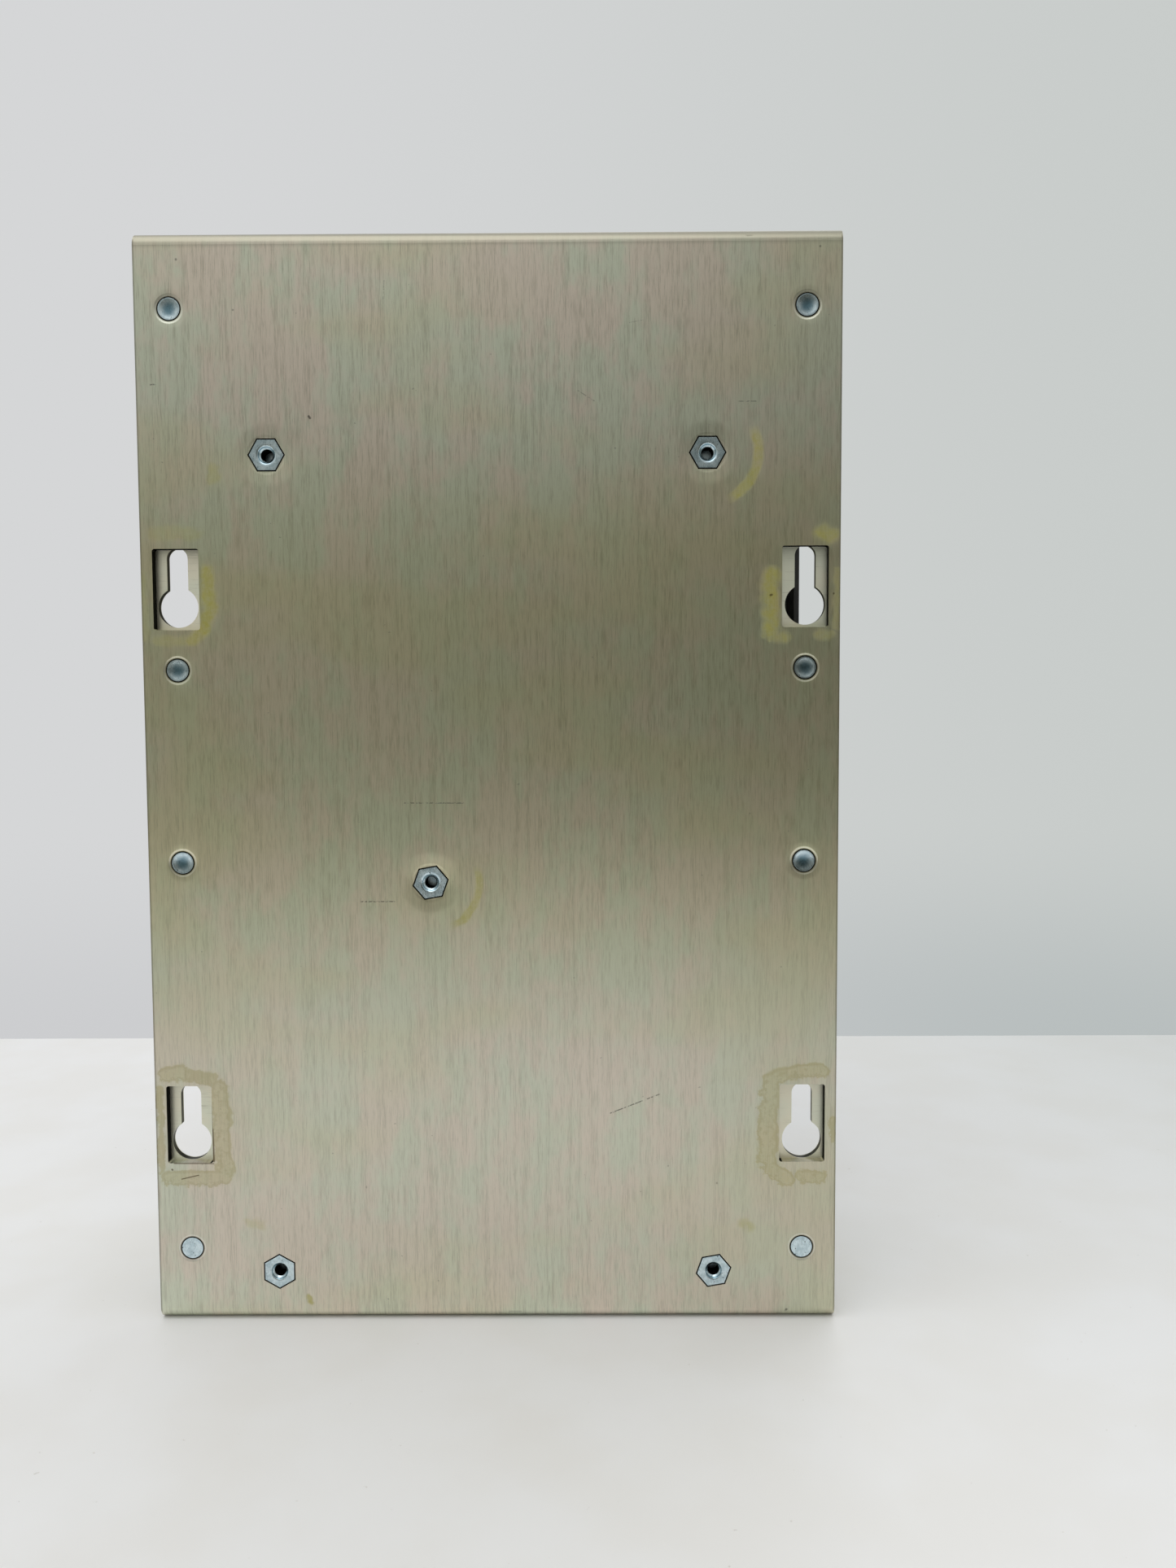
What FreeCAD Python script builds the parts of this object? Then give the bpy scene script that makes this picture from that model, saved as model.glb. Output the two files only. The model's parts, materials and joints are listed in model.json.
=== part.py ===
# Wall-mounted subpanel enclosure, built piece by piece. Lengths are in millimetres.
# +Z is up, +Y is the side with the door and -Y is the rear side that faces the wall.
# Everything is drawn with Y as the depth in front of the rear face, and is moved back by half
# the overall depth when it is written, so that the origin is the middle of the footprint.
import FreeCAD, Part
import math
import os

# Overall sizes
panel_width = 172.0
panel_height = 271.4
box_depth = 56.0

# Rear panel: one sheet with its top and bottom edges bent forward; the bent edges have rounded
# front corners, which the open door swings past
panel_sheet = 2.5
panel_bend_inner = 0.8
flange_corner_radius = 4.0

# Side channels: a rear flange outwards, a web, and a front flange inwards
channel_sheet = 2.0
channel_bend_inner = 1.0
web_inset = 17.0
rear_flange_inset = 1.5
front_flange_width = 7.0
channel_end_gap = 1.0

# Mounting keyholes in the channels, and the windows in the rear panel that show them. An inset
# is measured from the side edge of the panel, a rise from its bottom and a drop from its top.
keyhole_inset = 8.2
keyhole_head_radius = 5.0
keyhole_slot_width = 5.2
keyhole_height = 19.6
keyhole_rise = 40.9
keyhole_drop = 95.3
window_inset = 8.55
window_width = 11.45
window_height = 19.9
window_rise = 40.9
window_drop = 96.05
window_corner_radius = 0.6

# Clinch studs that hold the channels to the rear panel
stud_inset = 8.5
stud_rises = (18.85, 117.55)
stud_drops = (105.95, 18.45)
stud_head_radius = 2.9
stud_head_height = 1.4
stud_dish_depth = 0.2
stud_shank_radius = 2.0
stud_tip_past_nut = 1.5
washer_radius = 4.5
washer_height = 0.8
nut_flats = 7.0
nut_height = 3.2

# Clinch standoffs: place across, place up, and turn of the hexagon in degrees
standoff_drop = 53.55
standoff_places = (
    (-54.5, panel_height - standoff_drop, 0.0),
    (53.4, panel_height - standoff_drop, 0.0),
    (-15.6, 112.35, 10.0),
    (-55.4, 12.65, 30.0),
    (55.2, 12.65, 10.0),
)
standoff_flats = 7.92
standoff_head_height = 1.6
standoff_barrel_radius = 3.55
standoff_chamfer = 0.35

# Screws and their clearances
tapped_radius = 1.75
screw_clear_radius = 2.2
screw_head_radius = 3.5
screw_head_height = 2.4
small_tapped_radius = 1.3
small_clear_radius = 1.7
small_head_radius = 2.7
small_head_height = 1.6
thread_gap = 0.05
clinch_gap = 0.05
running_gap = 0.1
part_gap = 0.3

# Component plate
plate_sheet = 2.0
plate_side_gap = 5.0
plate_bottom = 6.0
plate_drop = 45.0
plate_corner_radius = 3.0

# Mounting rail, a 35 mm top-hat section
rail_drop = 101.0
rail_width = 35.0
rail_hat_width = 27.0
rail_height = 7.5
rail_sheet = 1.0
rail_end_gap = 4.0
rail_screw_x = 45.0

# Modular switchgear: depths are measured from the component plate
module_width = 17.5
module_gap = 0.2
branch_count = 5
main_modules = 2
module_height = 83.0
module_back = 4.0
shoulder_depth = 44.0
shoulder_gap = 0.5
nose_height = 45.0
nose_depth = 53.0
hook_reach = 3.3
rail_grip_gap = 0.1
module_corner_radius = 1.2

# Toggles
toggle_axis_depth = 46.0
toggle_rotor_radius = 6.4
toggle_reach = 13.0
toggle_thickness = 4.0
branch_toggle_width = 8.0
main_toggle_width = 24.0
toggle_half_swing = 38.0
toggle_side_gap = 0.4
axle_radius = 1.5
axle_reach = 2.0

# Terminals of the switchgear
terminal_offset = 32.0
terminal_head_radius = 2.4
terminal_head_height = 2.5
terminal_well_depth = 8.0
wire_way_front = 33.0
wire_way_size = 4.0
wire_way_reach = 15.0
comb_sheet = 1.5
comb_tooth_width = 3.0
comb_bar_height = 7.0
comb_bar_drop = 2.5

# Neutral and earth bars
bar_size = 8.0
bar_left_x = -50.0
bar_screw_count = 8
bar_pitch = 9.0
bar_wire_radius = 2.25
bar_support_width = 8.0
bar_support_height = 12.0
neutral_z = 95.0
neutral_support_reach = 10.0
earth_z = 68.0
earth_support_reach = 6.0
bar_screw_radius = 2.0
bar_screw_sunk = 3.0

# Earth stud
earth_stud_x = 46.0
earth_stud_z = 60.0
earth_stud_radius = 2.45
earth_stud_length = 16.0
earth_nut_flats = 8.0
earth_nut_height = 4.0

# Front plates: the dead front cover above and the cable apron below
cover_sheet = 1.5
cover_gap = 0.5
cover_end_gap = 1.0
cover_window_gap = 0.5
front_screw_inset = 4.2
cover_screw_margin = 8.0
apron_screw_margin = 7.0
bushing_x = (-38.0, 0.0, 38.0)
bushing_z = 20.0
bushing_neck_radius = 9.0
bushing_flange_radius = 11.5
bushing_flange_height = 1.4
bushing_bore_radius = 6.0

# Door: a shallow pan in front of the box
door_sheet = 1.5
door_bottom = 45.3
door_gap = 2.4
door_depth = 14.0
door_corner_radius = 2.0

# Hinges
hinge_rise = 58.0
hinge_drop = 49.0
hinge_height = 30.0
hinge_sheet = 1.5
knuckle_radius = 2.6
knuckle_length = 9.0
hinge_pin_radius = 1.2
hinge_leg_reach = 14.0
hinge_rivet_inset = 9.0
hinge_axis_offset = 0.6
hinge_rivet_margin = 7.0
hinge_head_height = 1.0
door_leaf_reach = 7.5

# Quarter-turn latch
latch_inset = 34.0
latch_z = 112.0
latch_sleeve_radius = 4.9
latch_bore_radius = 3.5
latch_sleeve_reach = 7.0
bezel_radius = 11.0
bezel_height = 1.5
latch_nut_flats = 14.0
latch_nut_height = 3.0
knob_radius = 9.0
knob_disc_height = 1.6
knob_grip_width = 5.0
knob_height = 5.3
cam_sheet = 1.8
cam_length = 15.5
cam_width = 10.0
cam_square = 4.8
keeper_leg_reach = 12.0
keeper_half_height = 10.0
keeper_lip_width = 7.5
keeper_rivet_inset = 7.0
keeper_rivet_offset = 5.0

# Places that follow from the sizes above
half_width = panel_width / 2
web_outer_x = half_width - web_inset
web_inner_x = web_outer_x - channel_sheet
rear_flange_edge_x = half_width - rear_flange_inset
channel_front = box_depth - cover_sheet
keyhole_x = half_width - keyhole_inset
keyhole_bottoms = (keyhole_rise, panel_height - keyhole_drop)
window_x = half_width - window_inset
window_bottoms = (window_rise, panel_height - window_drop)
stud_x = half_width - stud_inset
stud_rows = stud_rises + tuple(panel_height - drop for drop in stud_drops)
plate_front = channel_front - shoulder_gap - shoulder_depth
plate_back = plate_front - plate_sheet
standoff_reach = plate_back - panel_sheet
plate_half_width = web_inner_x - plate_side_gap
plate_top = panel_height - plate_drop
rail_z = panel_height - rail_drop
rail_half_length = web_inner_x - rail_end_gap
front_flange_edge_x = web_outer_x - front_flange_width
front_screw_x = web_outer_x - front_screw_inset
apron_top = door_bottom - cover_gap / 2
cover_bottom = door_bottom + cover_gap / 2
cover_top = panel_height - panel_sheet - cover_end_gap
apron_bottom = panel_sheet + cover_end_gap
module_row_half = module_width * (branch_count + main_modules) / 2
toggle_y = plate_front + toggle_axis_depth
door_back = box_depth + door_gap
door_front = door_back + door_depth
door_inner = door_front - door_sheet
hinge_rows = (hinge_rise, panel_height - hinge_drop)
hinge_x = half_width - knuckle_radius
hinge_y = door_back + hinge_axis_offset
hinge_leg_back = box_depth - hinge_leg_reach
hinge_rivet_depth = box_depth - hinge_rivet_inset
latch_x = latch_inset - half_width
keeper_back = box_depth - keeper_leg_reach
keeper_rivet_depth = box_depth - keeper_rivet_inset
knob_back = door_front + bezel_height + part_gap
overall_depth = knob_back + knob_height
small_shank_radius = small_tapped_radius - thread_gap
shank_radius = tapped_radius - thread_gap
latch_sleeve_back = door_inner - latch_sleeve_reach
cam_front = latch_sleeve_back - part_gap
cam_back = cam_front - cam_sheet


def vector(x, y, z):
    return FreeCAD.Vector(x, y, z)


def block(x, y, z):
    """Box between two values on each axis."""
    return Part.makeBox(x[1] - x[0], y[1] - y[0], z[1] - z[0], vector(x[0], y[0], z[0]))


def rod_x(y, z, radius, x_from, x_to):
    return Part.makeCylinder(radius, x_to - x_from, vector(x_from, y, z), vector(1, 0, 0))


def rod_y(x, z, radius, y_from, y_to):
    return Part.makeCylinder(radius, y_to - y_from, vector(x, y_from, z), vector(0, 1, 0))


def rod_z(x, y, radius, z_from, z_to):
    return Part.makeCylinder(radius, z_to - z_from, vector(x, y, z_from), vector(0, 0, 1))


def hexagon_y(x, z, flats, y_from, y_to, turn=0.0):
    """Hexagonal bar along Y; turn is the angle of its first corner from +X."""
    reach = flats / math.sqrt(3)
    angles = [math.radians(turn + 60 * step) for step in range(7)]
    corners = [vector(x + reach * math.cos(a), y_from, z + reach * math.sin(a)) for a in angles]
    return Part.Face(Part.makePolygon(corners)).extrude(vector(0, y_to - y_from, 0))


def rounded_face(corners):
    """Face inside a closed outline of (point, corner radius) pairs."""
    arcs = []
    for index, (corner, radius) in enumerate(corners):
        to_last = (corners[index - 1][0] - corner).normalize()
        to_next = (corners[(index + 1) % len(corners)][0] - corner).normalize()
        if radius == 0:
            arcs.append((corner, corner, corner))
            continue
        half_angle = to_last.getAngle(to_next) / 2
        reach = radius / math.tan(half_angle)
        middle = (to_last + to_next).normalize() * (radius / math.sin(half_angle) - radius)
        arcs.append((corner + to_last * reach, corner + middle, corner + to_next * reach))
    edges = []
    for index, (start, middle, end) in enumerate(arcs):
        if start != end:
            edges.append(Part.Arc(start, middle, end).toShape())
        edges.append(Part.makeLine(end, arcs[(index + 1) % len(arcs)][0]))
    return Part.Face(Part.Wire(edges))


def plate_y(x, y, z, radius):
    """Flat plate facing Y, with its four corners rounded."""
    points = ((x[0], z[0]), (x[1], z[0]), (x[1], z[1]), (x[0], z[1]))
    corners = [(vector(px, y[0], pz), radius) for px, pz in points]
    return rounded_face(corners).extrude(vector(0, y[1] - y[0], 0))


def mirrored(shape):
    """The same piece on the other side of the middle plane."""
    return shape.mirror(vector(0, 0, 0), vector(1, 0, 0))


def cut_all(shape, tools):
    return shape.cut(Part.makeCompound(tools))


def fuse_all(shapes):
    return shapes[0].multiFuse(shapes[1:]).removeSplitter()


def pan_screw_y(x, z, seat, tip, shank, head_radius, head_height):
    """Screw driven towards -Y: its head stands on the seat, with a rounded rim and a cross slot."""
    head = rod_y(x, z, head_radius, seat, seat + head_height)
    rim = [edge for edge in head.Edges if abs(edge.CenterOfMass.y - seat - head_height) < 0.001]
    head = head.makeFillet(head_height * 0.4, rim)
    slot_half = head_radius * 0.6
    slot_width = head_radius * 0.11
    slot_y = (seat + head_height * 0.5, seat + head_height)
    level = block((x - slot_half, x + slot_half), slot_y, (z - slot_width, z + slot_width))
    upright = block((x - slot_width, x + slot_width), slot_y, (z - slot_half, z + slot_half))
    return head.fuse(rod_y(x, z, shank, tip, seat)).cut(level).cut(upright)


def rivet_x(y, z, seat, tip, outward):
    """Rivet along X with its domed head on the seat; outward is 1 or -1."""
    head = rod_x(y, z, small_head_radius, 0, hinge_head_height)
    rim = [edge for edge in head.Edges if abs(edge.CenterOfMass.x - hinge_head_height) < 0.001]
    head = head.makeFillet(hinge_head_height * 0.6, rim)
    shank = rod_x(y, z, small_shank_radius, -abs(seat - tip), 0)
    rivet = head.fuse(shank)
    rivet.translate(vector(abs(seat), 0, 0))
    return rivet if outward > 0 else mirrored(rivet)


# Rear panel and side channels


def keyhole(x, bottom, y_from, y_to):
    """Keyhole opening: a round head hole with a slot that rises from it."""
    head_z = bottom + keyhole_head_radius
    slot_end_z = bottom + keyhole_height - keyhole_slot_width / 2
    half = keyhole_slot_width / 2
    slot = block((x - half, x + half), (y_from, y_to), (head_z, slot_end_z))
    head = rod_y(x, head_z, keyhole_head_radius, y_from, y_to)
    end = rod_y(x, slot_end_z, half, y_from, y_to)
    return fuse_all([head, slot, end])


def stud_places():
    return [(side * stud_x, row) for side in (-1, 1) for row in stud_rows]


def rear_panel():
    outer = panel_bend_inner + panel_sheet
    outline = (
        (0, 0, outer),
        (box_depth, 0, 0),
        (box_depth, panel_sheet, 0),
        (panel_sheet, panel_sheet, panel_bend_inner),
        (panel_sheet, panel_height - panel_sheet, panel_bend_inner),
        (box_depth, panel_height - panel_sheet, 0),
        (box_depth, panel_height, 0),
        (0, panel_height, outer),
    )
    face = rounded_face([(vector(-half_width, y, z), radius) for y, z, radius in outline])
    sheet = face.extrude(vector(panel_width, 0, 0))
    front_ends = [edge for edge in sheet.Edges if abs(edge.CenterOfMass.y - box_depth) < 0.001]
    corners = [edge for edge in front_ends if abs(edge.CenterOfMass.x) > half_width - 0.001]
    sheet = sheet.makeFillet(flange_corner_radius, corners)
    through = (-1, panel_sheet + 1)
    openings = []
    for side in (-1, 1):
        for bottom in window_bottoms:
            middle = side * window_x
            x = (middle - window_width / 2, middle + window_width / 2)
            z = (bottom, bottom + window_height)
            openings.append(plate_y(x, through, z, window_corner_radius))
    for x, z in stud_places():
        openings.append(rod_y(x, z, stud_shank_radius + clinch_gap, *through))
        openings.append(rod_y(x, z, stud_head_radius + clinch_gap, -1, stud_head_height))
    for x, z, turn in standoff_places:
        openings.append(rod_y(x, z, standoff_barrel_radius + clinch_gap, *through))
        flats = standoff_flats + 2 * clinch_gap
        openings.append(hexagon_y(x, z, flats, -1, standoff_head_height, turn))
    return cut_all(sheet, openings)


def side_channel():
    """The channel on the +X side."""
    outer = channel_bend_inner + channel_sheet
    flange_front = panel_sheet + channel_sheet
    outline = (
        (rear_flange_edge_x, panel_sheet, 0),
        (rear_flange_edge_x, flange_front, 0),
        (web_outer_x, flange_front, channel_bend_inner),
        (web_outer_x, channel_front, outer),
        (front_flange_edge_x, channel_front, 0),
        (front_flange_edge_x, channel_front - channel_sheet, 0),
        (web_inner_x, channel_front - channel_sheet, channel_bend_inner),
        (web_inner_x, panel_sheet, outer),
    )
    z_from = panel_sheet + channel_end_gap
    z_to = panel_height - panel_sheet - channel_end_gap
    face = rounded_face([(vector(x, y, z_from), radius) for x, y, radius in outline])
    channel = face.extrude(vector(0, 0, z_to - z_from))
    openings = []
    for bottom in keyhole_bottoms:
        openings.append(keyhole(keyhole_x, bottom, panel_sheet - 1, flange_front + 1))
    for row in stud_rows:
        openings.append(rod_y(stud_x, row, screw_clear_radius, panel_sheet - 1, flange_front + 1))
    for row in cover_screw_rows() + apron_screw_rows():
        openings.append(rod_y(front_screw_x, row, small_tapped_radius, channel_front - 5, box_depth))
    return cut_all(channel, openings)


def web_rivet_holes(places):
    return [rod_x(y, z, small_tapped_radius, web_inner_x - 1, web_outer_x + 5) for y, z in places]


def clinch_studs():
    studs = []
    nut_front = panel_sheet + channel_sheet + washer_height + nut_height
    dish_radius = stud_head_radius * 0.8
    ball = (dish_radius**2 + stud_dish_depth**2) / (2 * stud_dish_depth)
    for x, z in stud_places():
        head = rod_y(x, z, stud_head_radius, 0, stud_head_height)
        dish = Part.makeSphere(ball, vector(x, stud_dish_depth - ball, z))
        shank = rod_y(x, z, stud_shank_radius, stud_head_height, nut_front + stud_tip_past_nut)
        studs.append(head.cut(dish).fuse(shank))
    return studs


def stud_washers():
    back = panel_sheet + channel_sheet
    washers = []
    for x, z in stud_places():
        disc = rod_y(x, z, washer_radius, back, back + washer_height)
        washers.append(disc.cut(rod_y(x, z, screw_clear_radius, back - 1, back + 2)))
    return washers


def stud_nuts():
    back = panel_sheet + channel_sheet + washer_height
    bore = stud_shank_radius + thread_gap
    nuts = []
    for x, z in stud_places():
        nut = hexagon_y(x, z, nut_flats, back, back + nut_height)
        nuts.append(nut.cut(rod_y(x, z, bore, back - 1, back + nut_height + 1)))
    return nuts


# Standoffs and the component plate


def standoffs():
    spacers = []
    for x, z, turn in standoff_places:
        head = hexagon_y(x, z, standoff_flats, 0, standoff_head_height, turn)
        barrel = rod_y(x, z, standoff_barrel_radius, standoff_head_height, plate_back)
        mouth_radius = tapped_radius + standoff_chamfer
        mouth = Part.makeCone(
            mouth_radius, tapped_radius, standoff_chamfer, vector(x, 0, z), vector(0, 1, 0)
        )
        bore = rod_y(x, z, tapped_radius, -1, plate_back + 1)
        spacers.append(head.fuse(barrel).removeSplitter().cut(bore).cut(mouth))
    return spacers


def component_plate():
    x = (-plate_half_width, plate_half_width)
    plate = plate_y(x, (plate_back, plate_front), (plate_bottom, plate_top), plate_corner_radius)
    through = (plate_back - 1, plate_front + 1)
    holes = [rod_y(x, z, screw_clear_radius, *through) for x, z, _ in standoff_places]
    holes += [rod_y(x, rail_z, tapped_radius, *through) for x in (-rail_screw_x, rail_screw_x)]
    for z in (neutral_z, earth_z):
        holes += [rod_y(x, z, small_tapped_radius, *through) for x in bar_support_places()]
    holes.append(rod_y(earth_stud_x, earth_stud_z, earth_stud_radius + thread_gap, *through))
    return cut_all(plate, holes)


def standoff_screws():
    tip = panel_sheet + standoff_reach / 3
    return [
        pan_screw_y(x, z, plate_front, tip, shank_radius, screw_head_radius, screw_head_height)
        for x, z, _ in standoff_places
    ]


# Mounting rail and switchgear


def mounting_rail():
    hat = rail_hat_width / 2
    inside = hat - rail_sheet
    lip = rail_width / 2
    profile = (
        (-lip, rail_height),
        (-inside, rail_height),
        (-inside, rail_sheet),
        (inside, rail_sheet),
        (inside, rail_height),
        (lip, rail_height),
        (lip, rail_height - rail_sheet),
        (hat, rail_height - rail_sheet),
        (hat, 0),
        (-hat, 0),
        (-hat, rail_height - rail_sheet),
        (-lip, rail_height - rail_sheet),
    )
    points = [vector(-rail_half_length, plate_front + y, rail_z + z) for z, y in profile]
    rail = Part.Face(Part.makePolygon(points + points[:1])).extrude(vector(2 * rail_half_length, 0, 0))
    holes = [
        rod_y(x, rail_z, screw_clear_radius, plate_front - 1, plate_front + rail_sheet + 1)
        for x in (-rail_screw_x, rail_screw_x)
    ]
    return cut_all(rail, holes)


def rail_screws():
    seat = plate_front + rail_sheet
    return [
        pan_screw_y(x, rail_z, seat, plate_back, shank_radius, screw_head_radius, screw_head_height)
        for x in (-rail_screw_x, rail_screw_x)
    ]


def module_middles():
    """Middle of each module place, from +X to -X; the first ones belong to the main switch."""
    count = branch_count + main_modules
    return [module_row_half - module_width * (place + 0.5) for place in range(count)]


def branch_middle(number):
    return module_middles()[main_modules + number - 1]


def main_middle():
    return sum(module_middles()[:main_modules]) / main_modules


def module_outline(x):
    """Side outline of a rail-mounted device, with the groove that grips the rail."""
    half = module_height / 2
    nose = nose_height / 2
    groove = rail_width / 2 + rail_grip_gap * 4
    neck = groove - hook_reach
    groove_back = rail_height - rail_sheet - rail_grip_gap
    soft = module_corner_radius
    profile = (
        (-half, module_back, soft),
        (-neck, module_back, 0),
        (-neck, groove_back, 0),
        (-groove, groove_back, 0),
        (-groove, rail_height, 0),
        (groove, rail_height, 0),
        (groove, groove_back, 0),
        (neck, groove_back, 0),
        (neck, module_back, 0),
        (half, module_back, soft),
        (half, shoulder_depth, soft),
        (nose, shoulder_depth, 0),
        (nose, nose_depth, soft),
        (-nose, nose_depth, soft),
        (-nose, shoulder_depth, 0),
        (-half, shoulder_depth, soft),
    )
    return rounded_face([(vector(x, plate_front + y, rail_z + z), r) for z, y, r in profile])


def toggle_pocket(middle, toggle_width):
    """Room for a toggle over its whole swing, and the bearings of its axle."""
    half = toggle_width / 2 + toggle_side_gap
    round_part = rod_x(toggle_y, rail_z, toggle_rotor_radius + 0.5, middle - half, middle + half)
    swing = math.radians(toggle_half_swing)
    nose_front = plate_front + nose_depth
    above_axis = nose_front - toggle_y
    slot_half = above_axis * math.tan(swing) + toggle_thickness / 2 / math.cos(swing) + part_gap
    slot_z = (rail_z - slot_half, rail_z + slot_half)
    slot = block((middle - half, middle + half), (toggle_y + 3.0, nose_front + 1), slot_z)
    bearing = axle_radius + running_gap
    end = half + axle_reach
    axle_hole = rod_x(toggle_y, rail_z, bearing, middle - end, middle + end)
    return [round_part, slot, axle_hole]


def terminal_ways(middle):
    """Screw wells in both shoulders of one module, and the wire ways behind them."""
    front = plate_front + shoulder_depth
    well_floor = front - terminal_well_depth
    way_front = plate_front + wire_way_front
    way_y = (way_front - wire_way_size, way_front)
    x = (middle - wire_way_size / 2, middle + wire_way_size / 2)
    end = module_height / 2
    ways = []
    for side in (-1, 1):
        z = rail_z + side * terminal_offset
        ways.append(rod_y(middle, z, terminal_head_radius + part_gap, well_floor, front + 1))
        ways.append(rod_y(middle, z, tapped_radius, way_front - 1, well_floor + 1))
        way_z = sorted((rail_z + side * (end - wire_way_reach), rail_z + side * (end + 1)))
        ways.append(block(x, way_y, way_z))
    return ways


def switchgear_body(middles, toggle_width):
    """Moulded body that covers the given module places."""
    body_width = module_width * len(middles) - module_gap
    middle = sum(middles) / len(middles)
    body = module_outline(middle - body_width / 2).extrude(vector(body_width, 0, 0))
    tools = toggle_pocket(middle, toggle_width)
    for place in middles:
        tools += terminal_ways(place)
    return body.cut(tools)


def toggle(middle, width):
    """Rotor, lever and axle in one moulding, drawn in its lower position."""
    rotor = rod_x(0, 0, toggle_rotor_radius, middle - width / 2, middle + width / 2)
    half = toggle_thickness / 2
    x_from = middle - width / 2
    lever_profile = (
        (0, -half, 0),
        (toggle_reach, -half, half * 0.8),
        (toggle_reach, half, half * 0.8),
        (0, half, 0),
    )
    lever_face = rounded_face([(vector(x_from, y, z), r) for y, z, r in lever_profile])
    lever = lever_face.extrude(vector(width, 0, 0))
    end = width / 2 + axle_reach
    axle = rod_x(0, 0, axle_radius, middle - end, middle + end)
    shape = fuse_all([rotor, lever, axle])
    shape.rotate(vector(0, 0, 0), vector(1, 0, 0), -toggle_half_swing)
    shape.translate(vector(0, toggle_y, rail_z))
    return shape


def terminal_screws():
    """One clamp screw for each wire way; its tip meets the comb or a wire of that thickness."""
    seat = plate_front + shoulder_depth - terminal_well_depth
    tip = comb_middle_y() + comb_sheet / 2
    return [
        pan_screw_y(
            middle, rail_z + side * terminal_offset, seat, tip,
            shank_radius, terminal_head_radius, terminal_head_height,
        )
        for middle in module_middles()
        for side in (-1, 1)
    ]


def comb_middle_y():
    return plate_front + wire_way_front - wire_way_size / 2


def busbar_comb():
    """Comb that feeds the lower terminal of every module."""
    y = (comb_middle_y() - comb_sheet / 2, comb_middle_y() + comb_sheet / 2)
    bar_top = rail_z - module_height / 2 - comb_bar_drop
    ends = [module_middles()[-1] - comb_tooth_width / 2, module_middles()[0] + comb_tooth_width / 2]
    shapes = [block(ends, y, (bar_top - comb_bar_height, bar_top))]
    tooth_top = rail_z - terminal_offset + small_head_radius
    for middle in module_middles():
        x = (middle - comb_tooth_width / 2, middle + comb_tooth_width / 2)
        shapes.append(block(x, y, (bar_top, tooth_top)))
    return fuse_all(shapes)


# Neutral and earth bars


def bar_length():
    return bar_pitch * bar_screw_count


def bar_screw_places():
    return [bar_left_x + bar_pitch * (place + 0.5) for place in range(bar_screw_count)]


def bar_support_places():
    inset = bar_support_width / 2
    return [bar_left_x - inset, bar_left_x + bar_length() + inset]


def terminal_bar(z, reach):
    """Brass bar with lugs over its two supports, tapped for the screws and drilled for wires."""
    back = plate_front + reach
    end = bar_support_width
    x = (bar_left_x - end, bar_left_x + bar_length() + end)
    half = bar_size / 2
    lugs = block(x, (back, back + bar_size / 4), (z - half, z + half))
    x = (bar_left_x, bar_left_x + bar_length())
    bar = fuse_all([lugs, block(x, (back, back + bar_size), (z - half, z + half))])
    holes = []
    for place in bar_screw_places():
        holes.append(rod_y(place, z, bar_screw_radius + thread_gap, back + half, back + bar_size + 1))
        holes.append(rod_z(place, back + half, bar_wire_radius, z - half - 1, z + half + 1))
    for place in bar_support_places():
        holes.append(rod_y(place, z, small_clear_radius, back - 1, back + bar_size))
    return cut_all(bar, holes)


def bar_supports(z, reach):
    supports = []
    half_height = bar_support_height / 2
    for place in bar_support_places():
        x = (place - bar_support_width / 2, place + bar_support_width / 2)
        support_y = (plate_front, plate_front + reach)
        support = block(x, support_y, (z - half_height, z + half_height))
        hole = rod_y(place, z, small_clear_radius, plate_front - 1, plate_front + reach + 1)
        supports.append(support.cut(hole))
    return supports


def bar_screws(z, reach):
    """Clamp screws along a bar, and the two longer screws that fix it."""
    back = plate_front + reach
    front = back + bar_size
    screws = []
    for place in bar_screw_places():
        screw = rod_y(place, z, bar_screw_radius, front - bar_screw_sunk, front + bar_screw_radius)
        slot_y = (front + bar_screw_radius / 2, front + bar_screw_radius + 1)
        x = (place - bar_screw_radius, place + bar_screw_radius)
        screws.append(screw.cut(block(x, slot_y, (z - part_gap, z + part_gap))))
    for place in bar_support_places():
        seat = back + bar_size / 4
        head = (small_head_radius, small_head_height)
        screws.append(pan_screw_y(place, z, seat, plate_back, small_shank_radius, *head))
    return screws


def earth_stud():
    """Stud with a hexagonal collar, screwed through the component plate."""
    collar_front = plate_front + earth_nut_height / 2
    rod_front = plate_front + earth_stud_length
    place = (earth_stud_x, earth_stud_z)
    collar = hexagon_y(*place, earth_nut_flats, plate_front, collar_front)
    return collar.fuse(rod_y(*place, earth_stud_radius, plate_back, rod_front)).removeSplitter()


def earth_stud_nut():
    back = plate_front + earth_nut_height / 2
    place = (earth_stud_x, earth_stud_z)
    washer = rod_y(*place, earth_nut_flats / 2 + 1, back, back + washer_height)
    nut = hexagon_y(*place, earth_nut_flats, back + washer_height, back + washer_height + earth_nut_height)
    bore = rod_y(*place, earth_stud_radius + thread_gap, back - 1, back + 2 * earth_nut_height)
    return [washer.cut(bore), nut.cut(bore)]


# Dead front cover and cable apron


def cover_screw_rows():
    low = cover_bottom + cover_screw_margin
    high = cover_top - cover_screw_margin
    return [low, (low + high) / 2 - nose_height / 2, high]


def apron_screw_rows():
    return [apron_bottom + apron_screw_margin, apron_top - apron_screw_margin]


def front_plate(z, screw_rows):
    edge = web_outer_x
    plate = plate_y((-edge, edge), (channel_front, box_depth), z, 1.0)
    holes = [
        rod_y(side * front_screw_x, row, small_clear_radius, channel_front - 1, box_depth + 1)
        for side in (-1, 1)
        for row in screw_rows
    ]
    return cut_all(plate, holes)


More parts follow.
